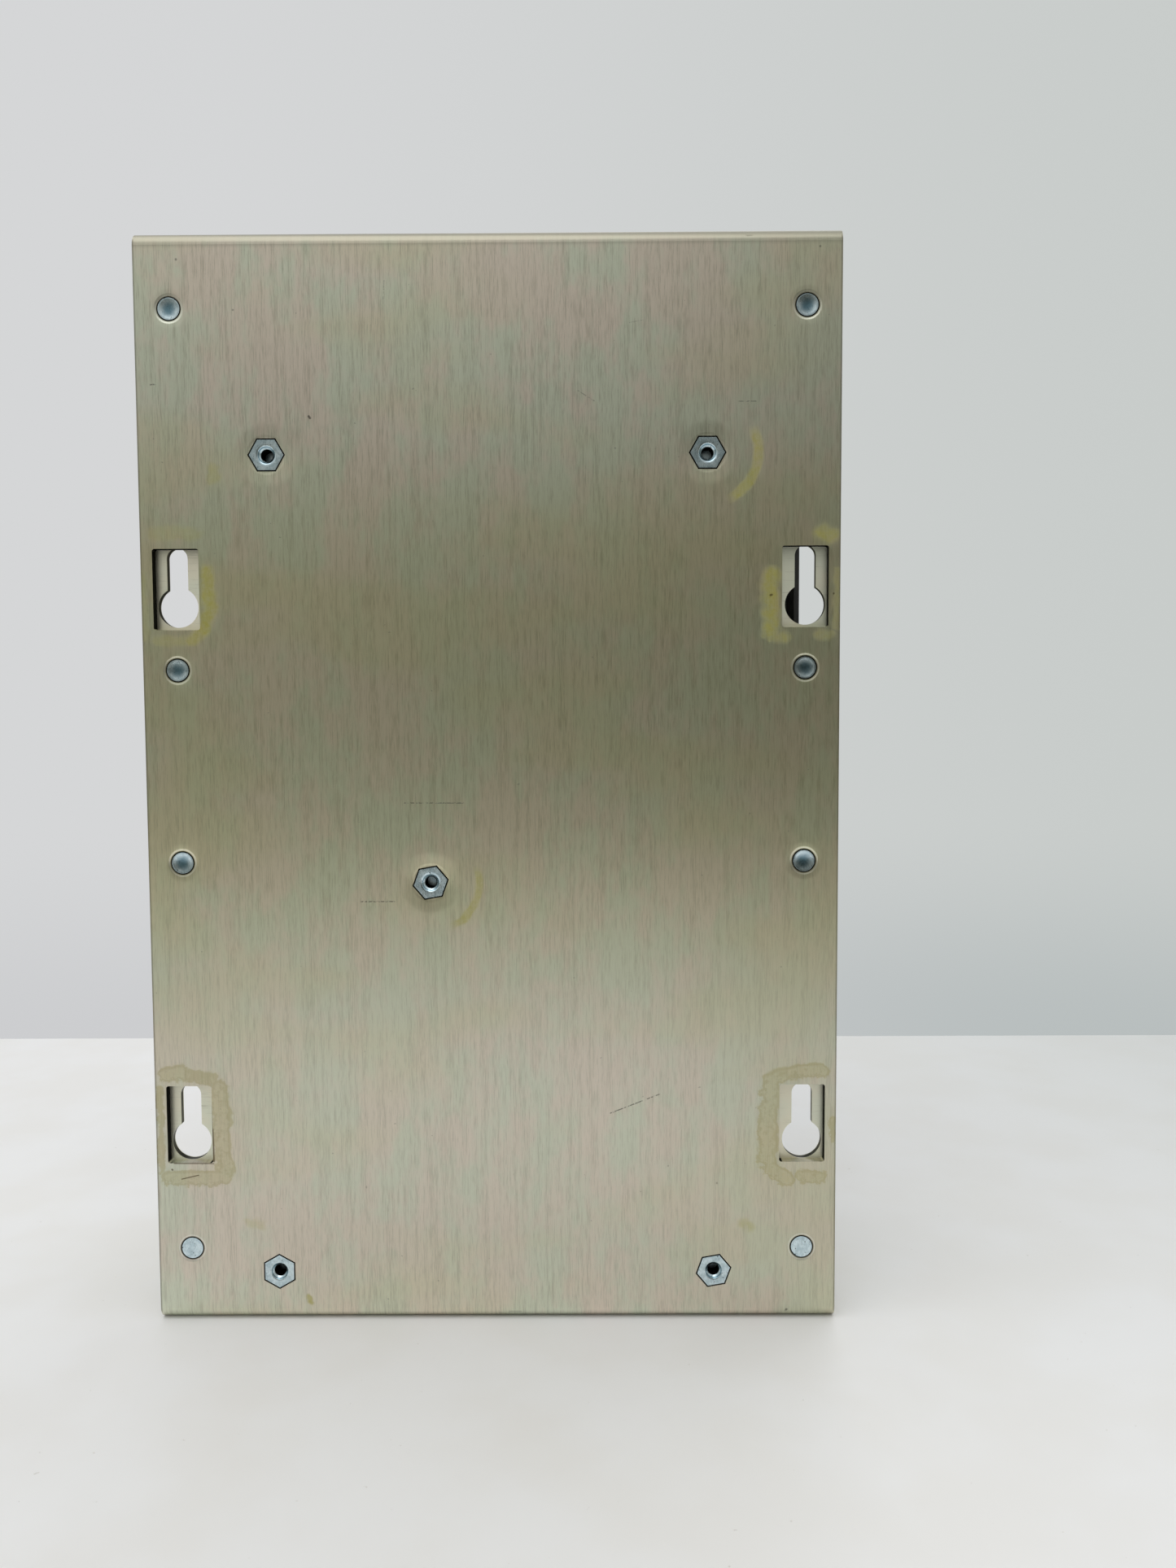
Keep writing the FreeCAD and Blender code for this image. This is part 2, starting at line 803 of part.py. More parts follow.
def dead_front_cover():
    plate = front_plate((cover_bottom, cover_top), cover_screw_rows())
    window_half = module_row_half + cover_window_gap
    half_height = nose_height / 2 + cover_window_gap
    x = (-window_half, window_half)
    z = (rail_z - half_height, rail_z + half_height)
    return plate.cut(plate_y(x, (channel_front - 1, box_depth + 1), z, 1.0))


def cable_apron():
    plate = front_plate((apron_bottom, apron_top), apron_screw_rows())
    y = (channel_front - 1, box_depth + 1)
    holes = [rod_y(x, bushing_z, bushing_neck_radius + clinch_gap, *y) for x in bushing_x]
    return cut_all(plate, holes)


def front_screws(rows):
    tip = channel_front - channel_sheet - 1
    return [
        pan_screw_y(
            side * front_screw_x, row, box_depth, tip,
            small_shank_radius, small_head_radius, small_head_height,
        )
        for side in (-1, 1)
        for row in rows
    ]


def cable_bushings():
    """Rubber bushings snapped into the apron, one rounded flange on each face."""
    back = channel_front - bushing_flange_height
    front = box_depth + bushing_flange_height
    bushings = []
    for x in bushing_x:
        neck = rod_y(x, bushing_z, bushing_neck_radius, channel_front, box_depth)
        inner = rod_y(x, bushing_z, bushing_flange_radius, back, channel_front)
        outer = rod_y(x, bushing_z, bushing_flange_radius, box_depth, front)
        rim = [edge for edge in outer.Edges if abs(edge.CenterOfMass.y - front) < 0.001]
        outer = outer.makeFillet(bushing_flange_height * 0.7, rim)
        bore = rod_y(x, bushing_z, bushing_bore_radius, back - 1, front + 1)
        bushings.append(fuse_all([neck, inner, outer]).cut(bore))
    return bushings


# Door and hinges


def door_panel():
    shell = block((-half_width, half_width), (door_back, door_front), (door_bottom, panel_height))
    kept_sharp = [edge for edge in shell.Edges if abs(edge.CenterOfMass.y - door_back) < 0.001]
    rounded = [e for e in shell.Edges if not any(e.isSame(sharp) for sharp in kept_sharp)]
    shell = shell.makeFillet(door_corner_radius, rounded)
    inset = door_sheet
    inside = block(
        (-half_width + inset, half_width - inset),
        (door_back - 1, door_inner),
        (door_bottom + inset, panel_height - inset),
    )
    floor_edges = [edge for edge in inside.Edges if edge.CenterOfMass.y > door_back]
    inside = inside.makeFillet(door_corner_radius - door_sheet, floor_edges)
    latch_hole_radius = latch_sleeve_radius + running_gap
    tools = [inside, rod_y(latch_x, latch_z, latch_hole_radius, door_inner - 1, door_front + 1)]
    notch_front = hinge_y + knuckle_radius + part_gap
    for row in hinge_rows:
        z = (row - part_gap, row + hinge_height + part_gap)
        x = (half_width - inset - 1, half_width + 1)
        tools.append(block(x, (door_back - 1, notch_front), z))
    return shell.cut(tools)


def fixed_leaf(row):
    """Angle leaf on the outside of the channel web, with the two outer knuckles."""
    back = hinge_y - knuckle_radius
    front = back + hinge_sheet
    outline = (
        (web_outer_x, hinge_leg_back, 0),
        (web_outer_x + hinge_sheet, hinge_leg_back, 0),
        (web_outer_x + hinge_sheet, back, 0.5),
        (hinge_x, back, 0),
        (hinge_x, front, 0),
        (web_outer_x, front, 0.5 + hinge_sheet),
    )
    face = rounded_face([(vector(x, y, row), radius) for x, y, radius in outline])
    leaf = face.extrude(vector(0, 0, hinge_height))
    middle_z = (row + knuckle_length, row + hinge_height - knuckle_length)
    clear_x = hinge_x - knuckle_radius - part_gap
    leaf = leaf.cut(block((clear_x, hinge_x + 1), (back - 1, front + 1), middle_z))
    knuckles = [
        rod_z(hinge_x, hinge_y, knuckle_radius, row, middle_z[0]),
        rod_z(hinge_x, hinge_y, knuckle_radius, middle_z[1], row + hinge_height),
    ]
    bore = rod_z(hinge_x, hinge_y, hinge_pin_radius + running_gap, row - 1, row + hinge_height + 1)
    holes = [rod_x(y, z, small_tapped_radius, web_inner_x, web_outer_x + 3) for y, z in rivet_rows(row)]
    return fuse_all([leaf] + knuckles).cut([bore] + holes)


def rivet_rows(row):
    low = row + hinge_rivet_margin
    high = row + hinge_height - hinge_rivet_margin
    return [(hinge_rivet_depth, low), (hinge_rivet_depth, high)]


def door_leaf(row):
    """Flat leaf spot-welded inside the door's side, with the middle knuckle."""
    outer = half_width - door_sheet
    inner = outer - hinge_sheet
    clear_front = hinge_y + knuckle_radius + part_gap
    front = clear_front + door_leaf_reach
    flat = block((inner, outer), (clear_front, front), (row, row + hinge_height))
    z = (row + knuckle_length + part_gap, row + hinge_height - knuckle_length - part_gap)
    tongue = block((inner, outer), (hinge_y, clear_front), z)
    knuckle = rod_z(hinge_x, hinge_y, knuckle_radius, *z)
    bore = rod_z(hinge_x, hinge_y, hinge_pin_radius + running_gap, z[0] - 1, z[1] + 1)
    return fuse_all([flat, tongue, knuckle]).cut(bore)


def hinge_pins():
    """Pins with a flat head that stands on the top knuckle."""
    pins = []
    for row in hinge_rows:
        top = row + hinge_height
        shank = rod_z(hinge_x, hinge_y, hinge_pin_radius, row, top)
        head = rod_z(hinge_x, hinge_y, knuckle_radius - part_gap, top, top + part_gap)
        pins.append(shank.fuse(head).removeSplitter())
    return pins


def hinge_rivets():
    seat = web_outer_x + hinge_sheet
    places = [place for row in hinge_rows for place in rivet_rows(row)]
    return [rivet_x(y, z, seat, web_inner_x, 1) for y, z in places]


# Latch


def latch_bezel():
    flange = rod_y(latch_x, latch_z, bezel_radius, door_front, door_front + bezel_height)
    rim = [e for e in flange.Edges if abs(e.CenterOfMass.y - door_front - bezel_height) < 0.001]
    flange = flange.makeFillet(bezel_height * 0.6, rim)
    sleeve = rod_y(latch_x, latch_z, latch_sleeve_radius, latch_sleeve_back, door_front)
    bore = rod_y(latch_x, latch_z, latch_bore_radius, latch_sleeve_back - 1, knob_back)
    return flange.fuse(sleeve).removeSplitter().cut(bore)


def latch_nut():
    back = door_inner - latch_nut_height
    nut = hexagon_y(latch_x, latch_z, latch_nut_flats, back, door_inner)
    return nut.cut(rod_y(latch_x, latch_z, latch_sleeve_radius + thread_gap, back - 1, door_inner + 1))


def latch_knob():
    """Wing knob, its shaft through the bezel and the square end that carries the cam."""
    disc = rod_y(latch_x, latch_z, knob_radius, knob_back, knob_back + knob_disc_height)
    half = knob_grip_width / 2
    grip_z = (latch_z - knob_radius, latch_z + knob_radius)
    grip = plate_y((latch_x - half, latch_x + half), (knob_back, overall_depth), grip_z, half - 0.5)
    front = [e for e in grip.Edges if abs(e.CenterOfMass.y - overall_depth) < 0.001]
    grip = grip.makeFillet(0.6, front)
    shaft = rod_y(latch_x, latch_z, latch_bore_radius - running_gap, cam_front, knob_back)
    side = cam_square / 2
    end = block((latch_x - side, latch_x + side), (cam_back, cam_front), (latch_z - side, latch_z + side))
    bore = rod_y(latch_x, latch_z, small_tapped_radius, cam_back - 1, cam_front + 6)
    return fuse_all([disc, grip, shaft, end]).cut(bore)


def latch_cam():
    """Cam arm, drawn pointing down: released."""
    half = cam_width / 2
    x = (latch_x - half, latch_x + half)
    arm = plate_y(x, (cam_back, cam_front), (latch_z - cam_length, latch_z + half), half * 0.6)
    side = cam_square / 2 + thread_gap
    hole_x = (latch_x - side, latch_x + side)
    return arm.cut(block(hole_x, (cam_back - 1, cam_front + 1), (latch_z - side, latch_z + side)))


def latch_cam_screw():
    """Screw whose head, below the square end, keeps the cam on."""
    seat = cam_back
    head = rod_y(latch_x, latch_z, cam_square / 2 + 1, seat - small_head_height, seat)
    return head.fuse(rod_y(latch_x, latch_z, small_shank_radius, seat, seat + 6)).removeSplitter()


def latch_keeper():
    """Angle on the outside of the channel web; its lip stands in front of the turned cam."""
    lip_back = cam_front + part_gap
    lip_front = lip_back + hinge_sheet
    outer = -(web_outer_x + hinge_sheet)
    outline = (
        (outer, keeper_back, 0),
        (outer, lip_front, 0.5 + hinge_sheet),
        (outer + keeper_lip_width, lip_front, 0),
        (outer + keeper_lip_width, lip_back, 0),
        (-web_outer_x, lip_back, 0.5),
        (-web_outer_x, keeper_back, 0),
    )
    z_from = latch_z - keeper_half_height
    face = rounded_face([(vector(x, y, z_from), radius) for x, y, radius in outline])
    keeper = face.extrude(vector(0, 0, 2 * keeper_half_height))
    holes = [mirrored(hole) for hole in web_rivet_holes(keeper_rivet_places())]
    return cut_all(keeper, holes)


def keeper_rivet_places():
    offsets = (-keeper_rivet_offset, keeper_rivet_offset)
    return [(keeper_rivet_depth, latch_z + offset) for offset in offsets]


def keeper_rivets():
    seat = web_outer_x + hinge_sheet
    return [rivet_x(y, z, seat, web_inner_x, -1) for y, z in keeper_rivet_places()]


# Everything, by node name


def channels():
    """Both channels; the +X one carries the hinges and the -X one the latch keeper."""
    hinge_places = [place for row in hinge_rows for place in rivet_rows(row)]
    hinge_side = cut_all(side_channel(), web_rivet_holes(hinge_places))
    latch_side = mirrored(cut_all(side_channel(), web_rivet_holes(keeper_rivet_places())))
    return hinge_side, latch_side


def pieces():
    hinge_side, latch_side = channels()
    named = {
        "rear_panel": rear_panel(),
        "side_channel_hinge": hinge_side,
        "side_channel_latch": latch_side,
        "clinch_studs": clinch_studs(),
        "stud_washers": stud_washers(),
        "stud_nuts": stud_nuts(),
        "standoffs": standoffs(),
        "component_plate": component_plate(),
        "standoff_screws": standoff_screws(),
        "mounting_rail": mounting_rail(),
        "rail_screws": rail_screws(),
        "main_switch_body": switchgear_body(module_middles()[:main_modules], main_toggle_width),
        "main_switch_toggle": toggle(main_middle(), main_toggle_width),
        "terminal_screws": terminal_screws(),
        "busbar_comb": busbar_comb(),
        "neutral_bar": terminal_bar(neutral_z, neutral_support_reach),
        "neutral_supports": bar_supports(neutral_z, neutral_support_reach),
        "neutral_screws": bar_screws(neutral_z, neutral_support_reach),
        "earth_bar": terminal_bar(earth_z, earth_support_reach),
        "earth_supports": bar_supports(earth_z, earth_support_reach),
        "earth_screws": bar_screws(earth_z, earth_support_reach),
        "earth_stud": earth_stud(),
        "earth_stud_nut": earth_stud_nut(),
        "dead_front_cover": dead_front_cover(),
        "cover_screws": front_screws(cover_screw_rows()),
        "cable_apron": cable_apron(),
        "apron_screws": front_screws(apron_screw_rows()),
        "cable_bushings": cable_bushings(),
        "door": door_panel(),
        "hinge_fixed_leaf_lower": fixed_leaf(hinge_rows[0]),
        "hinge_fixed_leaf_upper": fixed_leaf(hinge_rows[1]),
        "hinge_door_leaf_lower": door_leaf(hinge_rows[0]),
        "hinge_door_leaf_upper": door_leaf(hinge_rows[1]),
        "hinge_pins": hinge_pins(),
        "hinge_rivets": hinge_rivets(),
        "latch_bezel": latch_bezel(),
        "latch_nut": latch_nut(),
        "latch_knob": latch_knob(),
        "latch_cam": latch_cam(),
        "latch_cam_screw": latch_cam_screw(),
        "latch_keeper": latch_keeper(),
        "keeper_rivets": keeper_rivets(),
    }
    for number in range(1, branch_count + 1):
        middle = branch_middle(number)
        named[f"breaker_{number}_body"] = switchgear_body([middle], branch_toggle_width)
        named[f"breaker_{number}_toggle"] = toggle(middle, branch_toggle_width)
    return named


def write(name, piece):
    """Write one node, moved so that the middle of the overall depth is at the origin."""
    shape = Part.makeCompound(piece) if isinstance(piece, list) else piece
    shape.translate(vector(0, -overall_depth / 2, 0))
    shape.exportStep(f"parts/{name}.step")
    print(f"{name}: {len(shape.Solids)} solids, valid {shape.isValid()}, {shape.Volume:.1f} mm3")


os.makedirs("parts", exist_ok=True)
for piece_name, piece_shape in pieces().items():
    write(piece_name, piece_shape)
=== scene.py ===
import json
import math
from functools import reduce

import bpy
import bmesh
from mathutils import Matrix, Vector


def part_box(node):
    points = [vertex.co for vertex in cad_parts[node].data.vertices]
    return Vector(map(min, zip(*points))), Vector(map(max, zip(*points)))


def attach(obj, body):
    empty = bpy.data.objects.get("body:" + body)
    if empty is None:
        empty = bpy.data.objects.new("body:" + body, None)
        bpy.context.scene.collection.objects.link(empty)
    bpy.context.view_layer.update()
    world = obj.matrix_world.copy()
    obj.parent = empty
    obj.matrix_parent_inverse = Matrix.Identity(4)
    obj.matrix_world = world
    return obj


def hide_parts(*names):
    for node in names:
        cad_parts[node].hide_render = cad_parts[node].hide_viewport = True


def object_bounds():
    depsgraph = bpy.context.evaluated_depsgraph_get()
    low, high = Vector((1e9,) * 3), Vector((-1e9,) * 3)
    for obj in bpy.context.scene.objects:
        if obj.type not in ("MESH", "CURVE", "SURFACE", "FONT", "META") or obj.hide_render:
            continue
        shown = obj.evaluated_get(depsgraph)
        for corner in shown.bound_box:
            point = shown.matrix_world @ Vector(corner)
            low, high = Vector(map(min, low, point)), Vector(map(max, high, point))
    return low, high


# The enclosure seen from behind: materials, clinch hardware, and the table, light and view

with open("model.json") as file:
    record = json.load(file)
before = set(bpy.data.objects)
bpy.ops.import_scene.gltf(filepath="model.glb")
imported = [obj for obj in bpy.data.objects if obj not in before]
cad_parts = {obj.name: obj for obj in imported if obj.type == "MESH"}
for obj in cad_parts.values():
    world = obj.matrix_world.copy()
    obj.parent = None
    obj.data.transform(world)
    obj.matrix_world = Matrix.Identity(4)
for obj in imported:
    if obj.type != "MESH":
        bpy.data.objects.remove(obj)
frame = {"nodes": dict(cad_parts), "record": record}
cad_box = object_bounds()
nodes = frame["nodes"]
record = frame["record"]
openings = {opening["name"]: opening["box_m"] for opening in record["physics"]["openings"]}

MM = 0.001

# The main view, measured from the rear face of the panel: metres and degrees
VIEW_SIDE = 0.0254
VIEW_DISTANCE = 0.2913
VIEW_HEIGHT = 0.15465
VIEW_DOWN = 3.49
VIEW_TURN = 0.31
VIEW_ROLL = -0.27
VIEW_LENS = 26.98
SENSOR = 36.0

# The table that the enclosure stands on, in metres from the middle of its footprint
TABLE_BACK = 0.2275
TABLE_FRONT = -0.56
TABLE_HALF_WIDTH = 0.75
TABLE_THICKNESS = 0.03
TABLE_ROUNDING = 0.006

# Soft lights: place, aim and size in metres, and power in watts
LIGHTS = {
    "overhead": ((-0.25, -0.25, 0.95), (0.0, 0.0, 0.1), (1.2, 0.9), 1.2),
    "viewer_fill": ((-0.15, -0.42, 1.05), (0.0, -0.25, 0.0), (1.0, 0.6), 1.75),
    "rear_fill": ((0.35, 0.75, 0.8), (0.0, 0.05, 0.12), (1.0, 0.7), 1.5),
}

# The room that lights the enclosure, as display levels, and how far it darkens for the viewer
ROOM_LOW = (168, 168, 160)
ROOM_MIDDLE = (204, 205, 202)
ROOM_CEILING = (240, 241, 240)
ROOM_VIEWER = (70, 70, 62)
ROOM_RIGHT_DIMMING = 0.5
VIEWER_DIMMING = 0.95

# The wall that is seen behind the enclosure, as display levels
WALL_LEFT = (213, 214, 215)
WALL_RIGHT = (200, 204, 202)
WALL_LOW_LEFT = (204, 205, 207)
WALL_LOW_RIGHT = (184, 190, 190)

# The standoffs from the lowest up, and the turns of their hexagons in degrees
HEX_NAMES = ("lower_left", "lower_right", "middle", "upper_left", "upper_right")
HEX_TURNS = (30.0, 10.0, 10.0, 0.0, 0.0)

# Clinch hardware, in millimetres
HEX_FLATS = 7.92
HEX_HEIGHT = 1.6
HEX_CHAMFER = 0.3
STANDOFF_BARREL = 3.55
BORE_MOUTH = 2.15
BORE_RADIUS = 1.5
BORE_THREAD_START = 0.15
BORE_THREAD_END = 0.05
THREAD_DEPTH = 0.2
THREAD_PITCH = 0.7
STUD_HEAD = 1.4
STUD_HEAD_RADIUS = 2.9
STUD_SHANK = 2.0
STUD_CHAMFER = 0.24
STUD_THREAD_START = 0.1
STUD_TIP = 0.3
STUD_DISH = 0.24
LOWEST_STUD_DISH = 0.03
DISH_MIDDLE = 0.02

# Mesh of the hardware: steps round a piece, rings along a thread, and the sharpest smooth edge
STANDOFF_STEPS = 72
STUD_STEPS = 64
RINGS_PER_PITCH = 8
FADING_RINGS = 6
SMOOTH_DEGREES = 34

# How far the mouth of a bore widens, at each depth from the rear face, in millimetres
MOUTH_DEPTHS = (0.0, 0.02, 0.1)
MOUTH_WIDENING = (0.5, 0.12, 0.0)

# Where the dish of a stud is drawn, as shares of the head's radius; its edge is at the last one
DISH_SHARES = (0.2, 0.4, 0.6, 0.75, 0.84)

# Points of a node closer together than this, in millimetres, belong to one stud or standoff
HARDWARE_SPACING = 12.0

# Depth of the fine relief on plated metal, in millimetres
PLATED_RELIEF = 0.008

# Degrees over which an arc of residue fades at its ends
ARC_FADE = 8


# Shader values that combine like numbers


class Value:
    """A number that nodes work out, at each point of a surface or in each direction."""

    def __init__(self, graph, out):
        self.graph = graph
        self.out = out

    def __add__(self, other):
        return self.graph.math("ADD", self, other)

    def __sub__(self, other):
        return self.graph.math("SUBTRACT", self, other)

    def __rsub__(self, other):
        return self.graph.math("SUBTRACT", other, self)

    def __mul__(self, other):
        return self.graph.math("MULTIPLY", self, other)

    def __truediv__(self, other):
        return self.graph.math("DIVIDE", self, other)

    def __abs__(self):
        return self.graph.math("ABSOLUTE", self)

    def larger(self, other):
        return self.graph.math("MAXIMUM", self, other)

    def smaller(self, other):
        return self.graph.math("MINIMUM", self, other)

    def between(self, low, high):
        """0 at or below low and 1 at or above high, with a smooth rise; low may be the larger."""
        node = self.graph.add("ShaderNodeMapRange", interpolation_type="SMOOTHSTEP")
        if low > high:
            low, high = high, low
            node.inputs["To Min"].default_value = 1.0
            node.inputs["To Max"].default_value = 0.0
        self.graph.feed(node.inputs["Value"], self)
        node.inputs["From Min"].default_value = low
        node.inputs["From Max"].default_value = high
        return Value(self.graph, node.outputs["Result"])

    __radd__ = __add__


class Graph:
    """The nodes of a material or of the room."""

    def __init__(self, tree):
        self.tree = tree

    def add(self, kind, **settings):
        node = self.tree.nodes.new(kind)
        for name, value in settings.items():
            setattr(node, name, value)
        return node

    def feed(self, socket, value):
        if isinstance(value, Value):
            self.tree.links.new(value.out, socket)
        else:
            socket.default_value = value

    def math(self, operation, *inputs):
        node = self.add("ShaderNodeMath", operation=operation)
        for socket, value in zip(node.inputs, inputs):
            self.feed(socket, value)
        return Value(self, node.outputs[0])

    def distance(self, across, up):
        return self.math("SQRT", across * across + up * up)

    def split(self, vector):
        """The three values of a vector output."""
        node = self.add("ShaderNodeSeparateXYZ")
        self.tree.links.new(vector, node.inputs[0])
        return [Value(self, out) for out in node.outputs]

    def mix(self, factor, first, second):
        """A colour between two others."""
        node = self.add("ShaderNodeMix", data_type="RGBA", clamp_factor=True)
        self.feed(node.inputs["Factor"], factor)
        for socket, colour in zip(node.inputs[6:8], (first, second)):
            self.feed(socket, colour if isinstance(colour, Value) else tone(colour))
        return Value(self, node.outputs[2])


class Material(Graph):
    """The nodes of one material, with the Principled shader that they feed."""

    def __init__(self, name, colour, metallic=0.0, roughness=0.5, **settings):
        self.material = bpy.data.materials.new(name)
        self.material.use_nodes = True
        super().__init__(self.material.node_tree)
        self.shader = self.tree.nodes["Principled BSDF"]
        self.feed(self.shader.inputs["Base Color"], tone(colour))
        self.set(Metallic=metallic, Roughness=roughness, **settings)

    def set(self, **values):
        """Feeds the shader's sockets, named with underscores for their spaces."""
        for name, value in values.items():
            self.feed(self.shader.inputs[name.replace("_", " ")], value)

    def place(self):
        """The point's place across, in depth and up, in millimetres in the row frame."""
        coordinates = self.add("ShaderNodeTexCoord").outputs["Object"]
        scale = self.add("ShaderNodeVectorMath", operation="SCALE")
        self.tree.links.new(coordinates, scale.inputs[0])
        scale.inputs["Scale"].default_value = 1 / MM
        return self.split(scale.outputs[0])

    def noise(self, point, detail=2.0, roughness=0.5):
        """Smooth noise around 0.5, with features about as large as one unit of the point."""
        join = self.add("ShaderNodeCombineXYZ")
        for socket, value in zip(join.inputs, point):
            self.feed(socket, value)
        node = self.add("ShaderNodeTexNoise")
        self.tree.links.new(join.outputs[0], node.inputs["Vector"])
        node.inputs["Scale"].default_value = 1.0
        node.inputs["Detail"].default_value = detail
        node.inputs["Roughness"].default_value = roughness
        return Value(self, node.outputs["Fac"])

    def bevel(self, radius, samples):
        """The normal of a surface whose edges are rounded, with the radius in millimetres."""
        node = self.add("ShaderNodeBevel", samples=samples)
        node.inputs["Radius"].default_value = radius * MM
        return node.outputs[0]

    def bump(self, height, depth, soft_edge=0.0):
        """Relief of the given depth in millimetres where height is 1."""
        node = self.add("ShaderNodeBump")
        node.inputs["Distance"].default_value = depth * MM
        self.feed(node.inputs["Height"], height)
        if soft_edge:
            self.tree.links.new(self.bevel(soft_edge, 4), node.inputs["Normal"])
        self.tree.links.new(node.outputs[0], self.shader.inputs["Normal"])

    def brush(self):
        """Lays the shader's anisotropy along circles about the upright axis."""
        tangent = self.add("ShaderNodeTangent", direction_type="RADIAL", axis="Z")
        self.tree.links.new(tangent.outputs[0], self.shader.inputs["Tangent"])


def tone(colour):
    """Display levels from 0 to 255, as linear light."""
    linear = [
        level / 255 / 12.92 if level / 255 <= 0.04045 else ((level / 255 + 0.055) / 1.055) ** 2.4
        for level in colour
    ]
    return (*linear, 1.0)


# Marks on the panel


def strokes(graph, x, z, lines):
    """1 near any of the given straight strokes and 0 away from them.

    A stroke is (start, end, half width, strength), in millimetres.
    """
    marks = []
    for (x0, z0), (x1, z1), half, strength in lines:
        run = (x1 - x0) ** 2 + (z1 - z0) ** 2
        along = ((x - x0) * (x1 - x0) + (z - z0) * (z1 - z0)) / max(run, 1e-6)
        along = along.larger(0.0).smaller(1.0)
        off_x = x - x0 - along * (x1 - x0)
        off_z = z - z0 - along * (z1 - z0)
        marks.append(graph.distance(off_x, off_z).between(half * 1.6, half * 0.4) * strength)
    return reduce(Value.larger, marks)


def nearest(graph, offsets):
    """Distance to the nearest of several places, from the offsets to them."""
    return reduce(Value.smaller, [graph.distance(*offset) for offset in offsets])


def arc_mark(graph, x, z, middle, radius, half, turn_from, turn_to):
    """1 along an arc about a middle; turns are in degrees from straight across, upwards."""
    off_x, off_z = x - middle[0], z - middle[1]
    off = abs(graph.distance(off_x, off_z) - radius)
    turn = graph.math("ARCTAN2", off_z, off_x) * (180 / math.pi)
    start = turn.between(turn_from - ARC_FADE, turn_from + ARC_FADE)
    end = turn.between(turn_to + ARC_FADE, turn_to - ARC_FADE)
    return off.between(half * 1.4, half * 0.5) * (start * end)


def about_windows(marks, windows):
    """The strokes of all the windows in one list, each moved to the middle of its window."""
    found = []
    for name, lines in marks.items():
        across, up = windows[name]
        for (x0, z0), (x1, z1), half, strength in lines:
            found.append(((x0 + across, z0 + up), (x1 + across, z1 + up), half, strength))
    return found


# Strokes about the middle of each window, in millimetres: yellow residue at the upper windows
YELLOW_RESIDUE = {
    "keyhole_upper_latch_side": (
        ((-4.8, 13.6), (5.2, 13.6), 1.6, 0.4),
        ((8.3, 4.6), (8.4, -6.0), 1.6, 1.0),
        ((8.2, -6.0), (6.9, -10.0), 1.5, 1.1),
        ((6.9, -10.0), (4.2, -12.4), 1.4, 0.9),
        ((4.2, -12.4), (-4.5, -12.7), 1.2, 0.5),
        ((-8.4, 4.0), (-7.6, -11.5), 1.1, 0.35),
    ),
    "keyhole_upper_hinge_side": (
        ((3.8, 12.9), (5.8, 12.6), 1.9, 0.9),
        ((-8.9, 2.6), (-8.8, -10.6), 2.0, 1.0),
        ((7.5, 4.0), (7.4, -10.0), 0.9, 0.45),
        ((3.0, -11.8), (5.4, -11.8), 1.2, 0.5),
        ((-8.6, -12.2), (-5.5, -12.6), 1.3, 0.7),
    ),
}

# Khaki residue round the lower windows
KHAKI_RESIDUE = {
    "keyhole_lower_latch_side": (
        ((-5.6, 13.6), (-1.8, 14.2), 1.7, 0.95),
        ((-0.5, 13.6), (6.2, 12.6), 1.6, 0.6),
        ((8.2, 10.0), (9.0, -11.0), 2.1, 0.85),
        ((-4.8, -13.0), (8.6, -13.0), 1.7, 0.9),
        ((-7.1, 10.0), (-6.8, -11.0), 0.9, 0.55),
    ),
    "keyhole_lower_hinge_side": (
        ((-8.2, 11.5), (-9.2, -8.5), 2.2, 0.85),
        ((-7.2, 12.6), (-1.0, 14.2), 1.7, 0.75),
        ((-1.0, 14.2), (4.8, 14.4), 1.6, 0.9),
        ((-8.4, -11.0), (-4.2, -13.6), 1.7, 0.95),
        ((-0.2, -12.9), (4.4, -13.2), 1.5, 0.85),
        ((7.4, 1.8), (7.5, -3.6), 0.7, 0.6),
    ),
}

# Thin brown lines and dots beside and below two windows
BROWN_LINES = {
    "keyhole_lower_latch_side": (
        ((6.0, 5.4), (6.08, -0.4), 0.14, 0.8),
        ((6.08, -0.4), (6.25, -8.6), 0.28, 1.0),
        ((-3.8, -9.25), (6.2, -9.3), 0.14, 0.8),
        ((-4.4, -10.8), (-4.3, -10.9), 0.22, 1.0),
        ((-2.0, -13.3), (2.3, -12.3), 0.13, 1.0),
    ),
    "keyhole_upper_hinge_side": (
        ((-8.9, -2.1), (-8.6, -2.0), 0.26, 1.0),
        ((6.6, -1.7), (6.6, -1.8), 0.2, 0.9),
    ),
}

# Arcs of yellow residue about two standoffs, by radius, half width, both turns and strength
RESIDUE_ARCS = {
    "upper_right": (12.4, 1.3, -62, 24, 0.85),
    "middle": (12.2, 1.0, -62, 16, 0.7),
}

# Small marks on the panel, in the row frame: spots of yellow residue, dark scratches and pits
SPOTS = (
    ((-67.6, 214.85), (-67.4, 212.35), 1.3, 0.5),
    ((-48.0, 5.95), (-48.0, 4.35), 0.8, 0.9),
    ((-63.0, 25.55), (-59.5, 24.55), 1.2, 0.3),
    ((62.8, 24.95), (64.6, 24.15), 1.2, 0.4),
)
SCRATCHES = (
    ((29.1, 53.55), (41.4, 58.35), 0.13, 0.9),
    ((-21.9, 132.35), (-7.1, 132.25), 0.13, 0.7),
    ((-33.2, 107.65), (-24.7, 107.65), 0.13, 0.9),
    ((21.8, 232.85), (25.9, 230.25), 0.09, 0.6),
    ((61.0, 230.05), (65.4, 230.05), 0.12, 0.6),
    ((34.4, 248.95), (37.7, 249.55), 0.08, 0.4),
    ((-82.4, 234.85), (-81.2, 234.95), 0.16, 0.7),
    ((-25.0, 259.35), (-25.3, 254.85), 0.07, 0.5),
)
